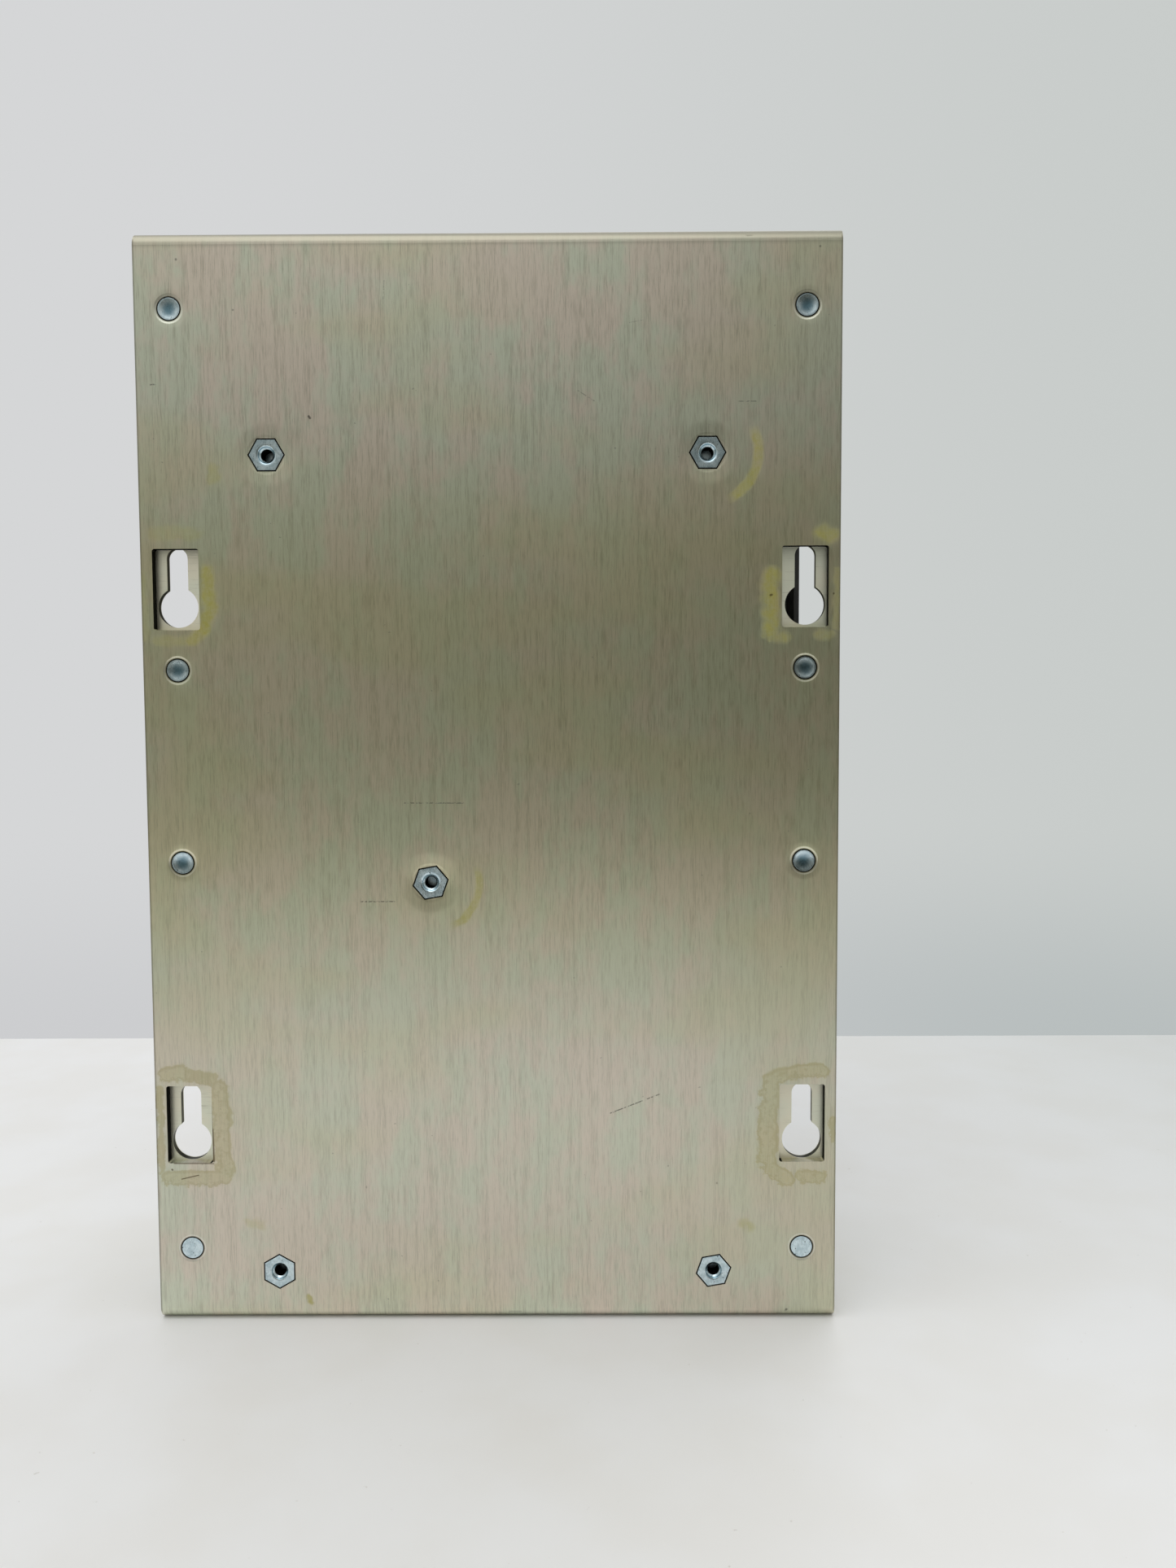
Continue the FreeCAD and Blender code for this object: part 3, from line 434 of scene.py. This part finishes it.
PITS = (
    ((-43.9, 227.05), (-43.6, 226.65), 0.26, 1.0),
    ((-75.4, 264.55), (-75.4, 264.65), 0.24, 0.7),
    ((-61.9, 252.55), (-61.8, 252.55), 0.2, 0.6),
    ((80.5, 266.65), (80.5, 266.75), 0.22, 0.7),
    ((-33.7, 269.95), (-33.7, 270.25), 0.3, 0.9),
    ((63.0, 269.65), (64.0, 269.75), 0.35, 0.9),
    ((3.4, 1.65), (6.0, 1.65), 0.35, 1.0),
    ((73.6, 1.85), (73.8, 2.35), 0.3, 0.9),
    ((56.0, 35.35), (56.0, 35.45), 0.22, 0.5),
)


# Materials


# Tones of the panel, as display levels; some are painted shade, painted reflection or a painted
# highlight
COAT = (224, 220, 203)
GREENISH_COAT = (221, 226, 206)
PINKISH_COAT = (233, 221, 206)
STRAW_COAT = (223, 219, 186)
GRAIN_SHADE = (150, 146, 126)
# Painted reflection: the hinge side is darker where the dark viewer is mirrored
HINGE_SIDE_PAINTED_REFLECTION = (168, 163, 130)
# Painted shade that dims the table's reflection low on the plate
LOWER_PAINTED_SHADE = (166, 164, 150)
# Painted reflection: darker and yellower across the middle height, where the dark viewer is
# mirrored
MIDDLE_PAINTED_REFLECTION = (190, 188, 96)
# Painted shade that dims the glare of the top bend
BEND_PAINTED_SHADE = (146, 143, 128)
YELLOW_STAIN = (180, 173, 66)
KHAKI_STAIN = (208, 200, 152)
KHAKI_CRUST = (166, 154, 92)
# Scratches, pits and specks, and painted shade round the stud heads and along the side edges
DARK_MARK_AND_SHADE = (52, 47, 38)
BROWN_MARK = (84, 66, 34)
# Painted highlight on the raised ring round each stud head
RIM_PAINTED_HIGHLIGHT = (246, 245, 238)
# Painted shade: near black on the cut walls of the windows
CUT_WALL_PAINTED_SHADE = (6, 6, 5)


def coat_colour(g, place, grain):
    """Conversion coat: cloudy greenish, pinkish and straw tones and grain, with painted shade and
    reflection by region.
    """
    x, y, z = place
    low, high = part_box("rear_panel")
    rear, top = low.y / MM, high.z / MM
    streaks = g.noise((x / 0.9, y / 24.0, z / 24.0), detail=2.0)
    patches = g.noise((x / 7.5, y / 12.0, z / 15.0), detail=3.0, roughness=0.6)
    drift = g.noise((x / 26.0 + 3.0, y / 30.0, z / 34.0), detail=2.0)
    bands = g.noise((x / 60.0 + 7.0, y / 60.0, z / 22.0), detail=2.0)
    clouds = (patches * 0.6 + drift * 0.4).between(0.40, 0.60)
    colour = g.mix(clouds, GREENISH_COAT, PINKISH_COAT)
    colour = g.mix(bands.between(0.45, 0.68) * 0.5, colour, STRAW_COAT)
    shade = grain * 0.7 + streaks * 0.3
    colour = g.mix(shade.between(0.56, 0.34) * 0.42, colour, GRAIN_SHADE)
    # Painted reflection of the dark viewer: darker towards the hinge side
    colour = g.mix(x.between(20.0, 86.0) * 0.2, colour, HINGE_SIDE_PAINTED_REFLECTION)
    # Painted shade: the lower part of the plate, above its foot, is darkened to dim the table's
    # reflection
    lower = z.between(118.0, 80.0) * z.between(-10.0, 24.0)
    colour = g.mix(lower * 0.3, colour, LOWER_PAINTED_SHADE)
    # Painted reflection: the middle height is darker and yellower, where the dark viewer is
    # mirrored
    middle = z.between(60.0, 125.0) * z.between(232.0, 185.0)
    colour = g.mix(middle * 0.22, colour, MIDDLE_PAINTED_REFLECTION)
    # Painted shade on the top bend, to dim the glare of the ceiling in it
    painted_bend_shade = z.between(top - 4.4, top - 1.9) * y.between(rear + 6.0, rear + 3.0)
    return g.mix(painted_bend_shade * 0.9, colour, BEND_PAINTED_SHADE)


def yellow_residue(g, place, ragged, wander, windows, standoffs):
    """Residue at the upper windows, in spots, and in arcs about two standoffs."""
    x, y, z = place
    bent_x, bent_z = x + wander, z + wander * 0.6
    yellow = strokes(g, bent_x, bent_z, about_windows(YELLOW_RESIDUE, windows))
    yellow = yellow.larger(strokes(g, bent_x, bent_z, SPOTS))
    for name, (radius, half, turn_from, turn_to, strength) in RESIDUE_ARCS.items():
        arc = arc_mark(g, x, bent_z, standoffs[name], radius, half, turn_from, turn_to)
        yellow = yellow.larger(arc * strength)
    return yellow * (0.2 + ragged * 1.3)


def khaki_residue(g, place, ragged, wander, windows):
    """Residue round the lower windows, with frayed edges."""
    x, y, z = place
    bent_x = x + (wander + (ragged - 0.5) * 2.2)
    bent_z = z + (ragged - 0.5) * 3.0
    khaki = strokes(g, bent_x, bent_z, about_windows(KHAKI_RESIDUE, windows))
    return khaki * (0.1 + ragged * 1.5)


def dark_marks_and_painted_shade(g, place, near_stud):
    """Scratches, pits and specks, with painted shade in a line round each stud head and along the
    side edges.
    """
    x, y, z = place
    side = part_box("rear_panel")[1].x / MM
    broken = g.noise((x / 0.5, y, z / 0.5), detail=1.0).between(0.38, 0.56)
    scratches = strokes(g, x, z, SCRATCHES) * broken
    pits = strokes(g, x, z, PITS)
    specks = g.noise((x / 1.3 + 11.0, y / 1.3, z / 1.3), detail=1.0).between(0.80, 0.84) * 0.35
    # Painted shade: a dark line round each stud head, where it meets the sheet
    stud_outline_shade = near_stud.between(3.12, 2.98) * 0.8
    # Painted shade: a dark line along both side edges of the sheet
    side_edge_shade = abs(x).between(side - 0.5, side - 0.2) * 0.55
    return reduce(Value.larger, (scratches, pits, specks, stud_outline_shade, side_edge_shade))


def window_wall_shade(place, windows):
    """1 on the cut walls at the sides and tops of the windows, which take painted shade."""
    x, y, z = place
    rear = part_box("rear_panel")[0].y / MM
    beside = abs(abs(x) - abs(windows["keyhole_upper_latch_side"][0]))
    walls = []
    for row in sorted({up for across, up in windows.values()}):
        above = z - row
        height = abs(above).between(11.0, 10.6)
        sides = height * beside.between(5.1, 5.4) * beside.between(6.8, 6.4)
        top = above.between(9.3, 9.7) * above.between(11.2, 10.8) * beside.between(6.0, 5.7)
        walls.append(sides.larger(top))
    return reduce(Value.larger, walls) * y.between(rear + 0.02, rear + 0.15)


def panel_material(windows, studs, standoffs):
    """Sheet brushed upwards, with a thin yellowish conversion coat, residue, handling marks, and
    painted shade, reflection and highlight.
    """
    g = Material("brushed_panel", COAT, metallic=1.0, roughness=0.4, Anisotropic=0.55)
    place = g.place()
    x, y, z = place
    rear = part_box("rear_panel")[0].y / MM
    on_rear = y.between(rear + 0.5, rear + 0.1)
    grain = g.noise((x / 0.24, y / 5.0, z / 5.0), detail=3.0, roughness=0.7)
    ragged = g.noise((x / 1.6, y / 1.6, z / 1.6), detail=3.0, roughness=0.7)
    wander = (g.noise((x / 2.6 + 40.0, y, z / 2.6), detail=2.0) - 0.5) * 3.2
    off_x = abs(x) - max(across for across, up in studs)
    near_stud = nearest(g, [(off_x, z - row) for row in sorted({up for across, up in studs})])
    near_hex = nearest(g, [(x - across, z - up) for across, up in standoffs.values()])

    colour = coat_colour(g, place, grain)
    yellow = yellow_residue(g, place, ragged, wander, windows, standoffs) * on_rear
    colour = g.mix(yellow * 0.72, colour, YELLOW_STAIN)
    khaki = khaki_residue(g, place, ragged, wander, windows) * on_rear
    colour = g.mix(khaki * 0.5, colour, KHAKI_STAIN)
    crust = khaki.between(0.12, 0.34) * khaki.between(0.8, 0.45)
    colour = g.mix(crust * 0.32, colour, KHAKI_CRUST)
    # Dark marks, with painted shade round the stud heads and along the side edges
    dark = dark_marks_and_painted_shade(g, place, near_stud) * on_rear
    colour = g.mix(dark * 0.8, colour, DARK_MARK_AND_SHADE)
    brown = strokes(g, x, z, about_windows(BROWN_LINES, windows)) * on_rear
    colour = g.mix(brown * 0.8, colour, BROWN_MARK)
    # Painted highlight: a bright ring just outside each stud head's dark line
    rim = near_stud.between(3.12, 3.25) * near_stud.between(3.55, 3.35) * on_rear
    colour = g.mix(rim * 0.4, colour, RIM_PAINTED_HIGHLIGHT)
    # Painted shade: the cut walls of the windows are painted near black
    cut = window_wall_shade(place, windows)
    colour = g.mix(cut, colour, CUT_WALL_PAINTED_SHADE)

    dish = near_hex.between(8.0, 3.6) * 0.12 + near_hex.between(5.0, 4.2) * 0.04
    dish = dish + near_stud.between(4.9, 2.9) * 0.05 + near_stud.between(3.7, 3.0) * 0.1
    g.bump(grain * 0.022 - dish * on_rear, 1.0)
    g.brush()
    stained = yellow.larger(khaki)
    g.set(Base_Color=colour, Roughness=0.36 + (grain - 0.5) * 0.16 + stained * 0.2 + cut * 0.5)
    g.set(Metallic=1.0 - stained * 0.35 - dark * 0.3)
    return g.material


def channel_material(windows):
    """Sheet brushed along the depth and across the flanges, with painted shade on the cut walls of
    its keyholes.
    """
    brushed = {"Anisotropic": 0.65, "Anisotropic_Rotation": 0.25}
    g = Material("brushed_channel", (232, 231, 216), metallic=1.0, roughness=0.4, **brushed)
    x, y, z = g.place()
    grain = g.noise((x / 9.0, y / 9.0, z / 0.3), detail=3.0, roughness=0.65)
    patches = g.noise((x / 14.0, y / 14.0, z / 14.0), detail=2.0)
    colour = g.mix(patches.between(0.4, 0.65), (232, 234, 215), (240, 235, 214))
    colour = g.mix(grain.between(0.42, 0.3) * 0.45, colour, (176, 172, 150))
    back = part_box("side_channel_hinge")[0].y / MM
    key_x = abs(windows["keyhole_upper_latch_side"][0])
    through = y.between(back + 0.1, back + 0.3) * y.between(back + 1.9, back + 1.7)
    # Painted shade: the cut walls of the keyholes are painted near black
    cut = through * abs(abs(x) - key_x).between(5.9, 5.6)
    colour = g.mix(cut * 0.95, colour, (18, 17, 14))
    g.bump(grain, 0.012)
    g.brush()
    g.set(Base_Color=colour, Roughness=0.38 + grain * 0.14, Metallic=1.0 - cut * 0.6)
    return g.material


def plated_material(name, colour, deep, roughness, spangle=2.4, soft_edge=0.12):
    """Plated or machined metal: cloudy tone, faint scratches and softly broken edges."""
    g = Material(name, colour, metallic=1.0, roughness=roughness)
    x, y, z = g.place()
    clouds = g.noise((x / spangle, y / spangle, z / spangle), detail=3.0, roughness=0.6)
    fine = g.noise((x / 0.35, y / 0.35, z / 0.9), detail=2.0)
    tint = g.mix(clouds.between(0.38, 0.66), deep, colour)
    tint = g.mix(fine.between(0.46, 0.34) * 0.35, tint, [level * 0.6 for level in deep])
    g.bump(fine + clouds * 0.5, PLATED_RELIEF, soft_edge=soft_edge)
    g.set(Base_Color=tint, Roughness=roughness - 0.05 + fine * 0.14)
    return g.material


def head_material(rear):
    """Blue zinc on the clinched heads, with painted shade down in a dish, and a few chips."""
    g = Material("clinch_head", (214, 230, 236), metallic=1.0, roughness=0.2)
    x, y, z = g.place()
    clouds = g.noise((x / 1.6, y / 1.6, z / 1.6), detail=3.0, roughness=0.6)
    fine = g.noise((x / 0.3, y / 0.3, z / 0.8), detail=2.0)
    chips = g.noise((x / 0.55 + 5.0, y / 0.55, z / 0.55), detail=2.0, roughness=0.6)
    colour = g.mix(clouds.between(0.36, 0.66), (188, 208, 216), (218, 234, 240))
    colour = g.mix(fine.between(0.46, 0.34) * 0.25, colour, (120, 134, 138))
    # Painted shade: darker a little below the rear face, down in the dish
    deep = y.between(rear + 0.05, rear + 0.25) * y.between(rear + 0.5, rear + 0.3)
    colour = g.mix(deep * 0.8, colour, (70, 116, 134))
    chipped = chips.between(0.66, 0.70)
    colour = g.mix(chipped * 0.8, colour, (40, 42, 38))
    g.bump(fine + clouds * 0.5, PLATED_RELIEF)
    g.set(Base_Color=colour, Roughness=0.16 + fine * 0.12 + chipped * 0.3)
    return g.material


def paint_material(name, colour, worn, roughness):
    """Powder coat: fine orange peel, faint handling marks, and wear where edges are sharp."""
    g = Material(name, colour, roughness=roughness)
    x, y, z = g.place()
    lumps = g.noise((x / 0.7, y / 0.7, z / 0.7), detail=2.0)
    broad = g.noise((x / 30.0, y / 30.0, z / 24.0), detail=3.0)
    rubbed = g.noise((x / 2.2, y / 2.2, z / 14.0), detail=3.0, roughness=0.7)
    lighter = [level + (255 - level) * 0.035 for level in colour]
    darker = [level * 0.95 for level in colour]
    tint = g.mix(broad.between(0.35, 0.65), darker, lighter)
    facing = g.add("ShaderNodeVectorMath", operation="DOT_PRODUCT")
    geometry = g.add("ShaderNodeNewGeometry")
    g.tree.links.new(g.bevel(0.5, 6), facing.inputs[0])
    g.tree.links.new(geometry.outputs["True Normal"], facing.inputs[1])
    edge = Value(g, facing.outputs["Value"]).between(0.985, 0.90)
    wear = edge * rubbed.between(0.55, 0.66)
    tint = g.mix(wear * 0.75, tint, worn)
    g.bump(lumps, 0.03, soft_edge=0.35)
    marks = rubbed.between(0.60, 0.72)
    g.set(Base_Color=tint, Roughness=roughness - 0.05 + lumps * 0.1 + marks * 0.08)
    return g.material


def moulded_material(name, colour, roughness, relief=0.02):
    """Moulded plastic or rubber: fine spark texture, slow tone drift and soft edges."""
    g = Material(name, colour, roughness=roughness)
    x, y, z = g.place()
    spark = g.noise((x / 0.22, y / 0.22, z / 0.22), detail=2.0, roughness=0.6)
    drift = g.noise((x / 16.0, y / 16.0, z / 16.0), detail=2.0)
    dust = g.noise((x / 0.9 + 3.0, y / 0.9, z / 0.9), detail=2.0).between(0.66, 0.76)
    lighter = [min(255, level * 1.05 + 4) for level in colour]
    tint = g.mix(drift.between(0.35, 0.65), colour, lighter)
    tint = g.mix(dust * 0.12, tint, (150, 146, 136))
    g.bump(spark, relief, soft_edge=0.3)
    g.set(Base_Color=tint, Roughness=roughness - 0.04 + spark * 0.1)
    return g.material


# Turned and hexagonal hardware


def circle(radius):
    return lambda angle: radius


def hexagon(flats, turn):
    """Distance from the middle to the side of a hexagon, in each direction."""

    def reach(angle):
        sixth = math.pi / 3
        within = (angle - math.radians(turn)) % sixth - sixth / 2
        return flats / 2 / math.cos(within)

    return reach


def turned(name, middle, rings, segments, materials, painted_shade_bands, closed=False):
    """Mesh through rings about a depth axis; a ring is (depth, reach by angle), in millimetres.

    The last ring is joined to the first one when closed; otherwise both ends are capped. The
    bands that follow the rings numbered in the given set take the second material, painted shade.
    """
    mesh = bpy.data.meshes.new(name)
    shape = bmesh.new()
    loops = []
    for depth, reach in rings:
        loop = []
        for step in range(segments):
            angle = 2 * math.pi * step / segments
            place = (
                middle[0] + reach(angle) * math.cos(angle),
                depth,
                middle[1] + reach(angle) * math.sin(angle),
            )
            loop.append(shape.verts.new([length * MM for length in place]))
        loops.append(loop)
    pairs = list(zip(loops, loops[1:]))
    if closed:
        pairs.append((loops[-1], loops[0]))
    for number, (first, second) in enumerate(pairs):
        for step in range(segments):
            after = (step + 1) % segments
            face = shape.faces.new((first[step], first[after], second[after], second[step]))
            face.material_index = int(number in painted_shade_bands)
    if not closed:
        shape.faces.new(loops[0])
        shape.faces.new(loops[-1])
    bmesh.ops.recalc_face_normals(shape, faces=shape.faces)
    shape.to_mesh(mesh)
    shape.free()
    for material in materials:
        mesh.materials.append(material)
    mesh.shade_smooth()
    mesh.set_sharp_from_angle(angle=math.radians(SMOOTH_DEGREES))
    piece = bpy.data.objects.new(name, mesh)
    bpy.context.scene.collection.objects.link(piece)
    return piece


def thread_rings(radius, start, end):
    """Rings along a thread whose groove turns about the axis and fades at both ends."""
    count = int((end - start) / THREAD_PITCH * RINGS_PER_PITCH)
    rings = []
    for step in range(count + 1):
        depth = start + (end - start) * step / count
        fade = min(1.0, step / FADING_RINGS, (count - step) / FADING_RINGS)

        def reach(angle, depth=depth, fade=fade):
            phase = (depth / THREAD_PITCH - angle / (2 * math.pi)) % 1.0
            return radius - THREAD_DEPTH * fade * abs(2 * phase - 1)

        rings.append((depth, reach))
    return rings


def middles(node):
    """Middles, across and up, of the solids of a node, in millimetres, from the lowest up."""
    groups = []
    for vertex in nodes[node].data.vertices:
        place = (vertex.co.x / MM, vertex.co.z / MM)
        near = [group for group in groups if math.dist(group[0], place) < HARDWARE_SPACING]
        if near:
            near[0].append(place)
        else:
            groups.append([place])
    found = []
    for group in groups:
        across, up = zip(*group)
        found.append(((min(across) + max(across)) / 2, (min(up) + max(up)) / 2))
    return sorted(found, key=lambda place: (round(place[1]), place[0]))


def standoff(name, middle, turn, rear, front, materials):
    """Clinch standoff: a flush hexagonal head with a broken rim, and a tapped bore; the rim's
    chamfer and the bore carry painted shade.
    """
    head = hexagon(HEX_FLATS, turn)
    rim = hexagon(HEX_FLATS - 2 * HEX_CHAMFER, turn)
    lead = BORE_MOUTH - BORE_RADIUS
    rings = [
        (front, circle(BORE_RADIUS + lead)),
        (front, circle(STANDOFF_BARREL)),
        (rear + HEX_HEIGHT, circle(STANDOFF_BARREL)),
        (rear + HEX_HEIGHT, head),
        (rear + HEX_CHAMFER, head),
        (rear, rim),
    ]
    chamfer_band = len(rings) - 2
    for depth, wider in zip(MOUTH_DEPTHS, MOUTH_WIDENING):
        rings.append((rear + depth, circle(BORE_MOUTH + wider)))
    rings.append((rear + MOUTH_DEPTHS[-1] + lead, circle(BORE_RADIUS)))
    bore_band = len(rings) - 1
    thread_start, thread_end = rear + BORE_THREAD_START + lead, front - lead - BORE_THREAD_END
    rings += thread_rings(BORE_RADIUS, thread_start, thread_end)
    # Painted shade: the chamfer round the head and the bore take the near-black material
    painted_shade_bands = {chamfer_band, *range(bore_band, len(rings))}
    return turned(name, middle, rings, STANDOFF_STEPS, materials, painted_shade_bands, closed=True)


def stud(name, middle, dish, rear, front, materials):
    """Clinch stud: a flush round head with a broken rim and a dish, and a threaded shank; the rim's
    chamfer carries painted shade.
    """
    radius = STUD_HEAD_RADIUS
    rings = [(rear + dish, circle(DISH_MIDDLE))]
    for share in DISH_SHARES:
        depth = dish * (1 - (share / DISH_SHARES[-1]) ** 2)
        rings.append((rear + depth, circle(radius * share)))
    chamfer_band = len(rings)
    rings += [
        (rear, circle(radius - STUD_CHAMFER)),
        (rear + STUD_CHAMFER, circle(radius)),
        (rear + STUD_HEAD, circle(radius)),
        (rear + STUD_HEAD, circle(STUD_SHANK - THREAD_DEPTH)),
    ]
    rings += thread_rings(STUD_SHANK, rear + STUD_HEAD + STUD_THREAD_START, front - STUD_TIP)
    rings += [
        (front - STUD_TIP, circle(STUD_SHANK - THREAD_DEPTH)),
        (front, circle(STUD_SHANK - THREAD_DEPTH - STUD_TIP)),
    ]
    # Painted shade: the chamfer round the head takes the near-black material
    return turned(name, middle, rings, STUD_STEPS, materials, {chamfer_band})


# The view, the table and the light


def main_camera():
    """Camera low behind the enclosure, a little towards its hinge side."""
    down, turn, roll = (math.radians(angle) for angle in (VIEW_DOWN, VIEW_TURN, VIEW_ROLL))
    level_right = Vector((math.cos(turn), math.sin(turn), 0.0))
    level_ahead = Vector((-math.sin(turn), math.cos(turn), 0.0))
    upright = Vector((0.0, 0.0, 1.0))
    ahead = level_ahead * math.cos(down) - upright * math.sin(down)
    up = level_ahead * math.sin(down) + upright * math.cos(down)
    right = level_right * math.cos(roll) + up * math.sin(roll)
    up = up * math.cos(roll) - level_right * math.sin(roll)
    data = bpy.data.cameras.new("main_view")
    data.lens = VIEW_LENS
    data.sensor_width = SENSOR
    data.sensor_fit = "AUTO"
    data.clip_start = 0.01
    camera = bpy.data.objects.new("main_view", data)
    turned_axes = Matrix((right, up, -ahead)).transposed().to_4x4()
    place = Vector((VIEW_SIDE, cad_box[0].y - VIEW_DISTANCE, VIEW_HEIGHT))
    camera.matrix_world = Matrix.Translation(place) @ turned_axes
    bpy.context.scene.collection.objects.link(camera)
    bpy.context.scene.camera = camera


def table():
    """White table top with rounded edges, faint scuffs, and painted shade towards the right and the
    back.
    """
    mesh = bpy.data.meshes.new("table")
    shape = bmesh.new()
    bmesh.ops.create_cube(shape, size=1.0)
    size = Vector((2 * TABLE_HALF_WIDTH, TABLE_BACK - TABLE_FRONT, TABLE_THICKNESS))
    middle = Vector((0.0, (TABLE_BACK + TABLE_FRONT) / 2, -TABLE_THICKNESS / 2))
    for vertex in shape.verts:
        vertex.co = Vector(length * share for length, share in zip(size, vertex.co)) + middle
    bmesh.ops.bevel(shape, geom=shape.edges[:], offset=TABLE_ROUNDING, segments=4, affect="EDGES")
    shape.to_mesh(mesh)
    shape.free()
    g = Material("table_white", (240, 240, 238), roughness=0.5)
    x, y, z = g.place()
    cloud = g.noise((x / 45.0, y / 45.0, z), detail=3.0)
    speck = g.noise((x / 2.2, y / 2.2, z), detail=2.0).between(0.74, 0.79)
    colour = g.mix(cloud.between(0.35, 0.65), (243, 243, 245), (240, 239, 239))
    # Painted shade: the table darkens towards the right and the back
    shaded = x.between(-150.0, 500.0) * 0.7 * y.between(-250.0, 230.0)
    colour = g.mix(shaded, colour, (188, 194, 193))
    g.set(Base_Color=g.mix(speck * 0.3, colour, (170, 162, 150)))
    g.bump(cloud, 0.05)
    mesh.materials.append(g.material)
    mesh.shade_smooth()
    mesh.set_sharp_from_angle(angle=math.radians(30))
    piece = bpy.data.objects.new("table", mesh)
    bpy.context.scene.collection.objects.link(piece)


def surroundings():
    """Pale room, dimmer low down and towards the viewer, with its own tones for the seen wall."""
    world = bpy.data.worlds.new("room")
    bpy.context.scene.world = world
    world.use_nodes = True
    g = Graph(world.node_tree)
    background = g.tree.nodes["Background"]
    x, y, z = g.split(g.add("ShaderNodeTexCoord").outputs["Generated"])
    room = g.mix(z.between(-0.05, 0.5), ROOM_LOW, ROOM_MIDDLE)
    room = g.mix(z.between(0.4, 0.9), room, ROOM_CEILING)
    facing = y.between(-0.2, -0.7)
    room = g.mix(facing * x.between(-0.15, 0.2) * ROOM_RIGHT_DIMMING, room, ROOM_VIEWER)
    viewer = y.between(-0.55, -0.95) * abs(z - 0.03).between(0.34, 0.02)
    side = x.between(-0.5, 0.25) * 0.5 + 0.5
    room = g.mix(viewer * side * VIEWER_DIMMING, room, ROOM_VIEWER)
    wall = g.mix(x.between(-0.4, 0.5), WALL_LEFT, WALL_RIGHT)
    low_wall = g.mix(x.between(-0.2, 0.4), WALL_LOW_LEFT, WALL_LOW_RIGHT)
    wall = g.mix(z.between(-0.08, -0.26), wall, low_wall)
    seen = Value(g, g.add("ShaderNodeLightPath").outputs["Is Camera Ray"])
    g.feed(background.inputs["Color"], g.mix(seen, room, wall))
    background.inputs["Strength"].default_value = 1.0


def area_light(name, place, aim, size, power):
    data = bpy.data.lights.new(name, "AREA")
    data.shape = "RECTANGLE"
    data.size, data.size_y = size
    data.energy = power
    lamp = bpy.data.objects.new(name, data)
    lamp.location = place
    lamp.rotation_mode = "QUATERNION"
    lamp.rotation_quaternion = (Vector(aim) - Vector(place)).to_track_quat("-Z", "Y")
    bpy.context.scene.collection.objects.link(lamp)


bpy.context.scene.view_settings.view_transform = "Standard"
main_camera()
table()
surroundings()
for name, (place, aim, size, power) in LIGHTS.items():
    area_light(name, place, aim, size, power)

windows = {}
for name, (low, high) in openings.items():
    if name.startswith("keyhole"):
        windows[name] = ((low[0] + high[0]) / 2 / MM, (low[2] + high[2]) / 2 / MM)
stud_middles = middles("clinch_studs")
hexes = middles("standoffs")
named_hexes = dict(zip(HEX_NAMES, hexes))

slot_materials = {
    "panel_aluminium": panel_material(windows, stud_middles, named_hexes),
    "channel_aluminium": channel_material(windows),
    "zinc": plated_material("zinc_plate", (206, 220, 226), (152, 172, 182), 0.3),
    "galvanised": plated_material("galvanised_sheet", (210, 212, 212), (172, 176, 178), 0.42, 5.0),
    "cover_paint": paint_material("grey_powder_coat", (196, 197, 193), (120, 122, 122), 0.5),
    "door_paint": paint_material("black_powder_coat", (34, 34, 36), (128, 128, 126), 0.42),
    "module_plastic": moulded_material("module_shell", (214, 213, 207), 0.5),
    "toggle_plastic": moulded_material("branch_toggle", (26, 27, 30), 0.32),
    "main_toggle_plastic": moulded_material("main_toggle", (168, 26, 20), 0.32),
    "brass": plated_material("machined_brass", (222, 190, 118), (182, 146, 78), 0.26, 4.0),
    "copper": plated_material("copper_bar", (214, 150, 112), (160, 96, 66), 0.3, 5.0),
    "support_plastic": moulded_material("support_moulding", (44, 84, 158), 0.45),
    "bushing_rubber": moulded_material("bushing_rubber", (30, 30, 30), 0.62),
    "knob_plastic": moulded_material("knob_moulding", (28, 28, 30), 0.4, relief=0.03),
}

slot_of = {part["node"]: part["material_slot"] for part in record["subparts"]}
for name, node in nodes.items():
    node.data.materials.clear()
    node.data.materials.append(slot_materials[slot_of[name]])

head_metal = head_material(cad_box[0].y / MM)
# Near-black metal, painted shade on the chamfers round the heads and in the bores
painted_shade_metal = plated_material("clinch_dull", (40, 42, 40), (18, 18, 17), 0.5, soft_edge=0)
rear, front = (corner.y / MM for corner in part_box("standoffs"))
for number, (middle, turn) in enumerate(zip(hexes, HEX_TURNS), 1):
    piece = standoff(f"standoff_{number}", middle, turn, rear, front, (head_metal, painted_shade_metal))
    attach(piece, "chassis")
    if number == 1:
        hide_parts("standoffs")

shank_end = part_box("clinch_studs")[1].y / MM
lowest = min(up for across, up in stud_middles)
for number, middle in enumerate(stud_middles, 1):
    dish = LOWEST_STUD_DISH if middle[1] < lowest + 1 else STUD_DISH
    piece = stud(f"stud_{number}", middle, dish, rear, shank_end, (head_metal, painted_shade_metal))
    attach(piece, "chassis")
    if number == 1:
        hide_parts("clinch_studs")
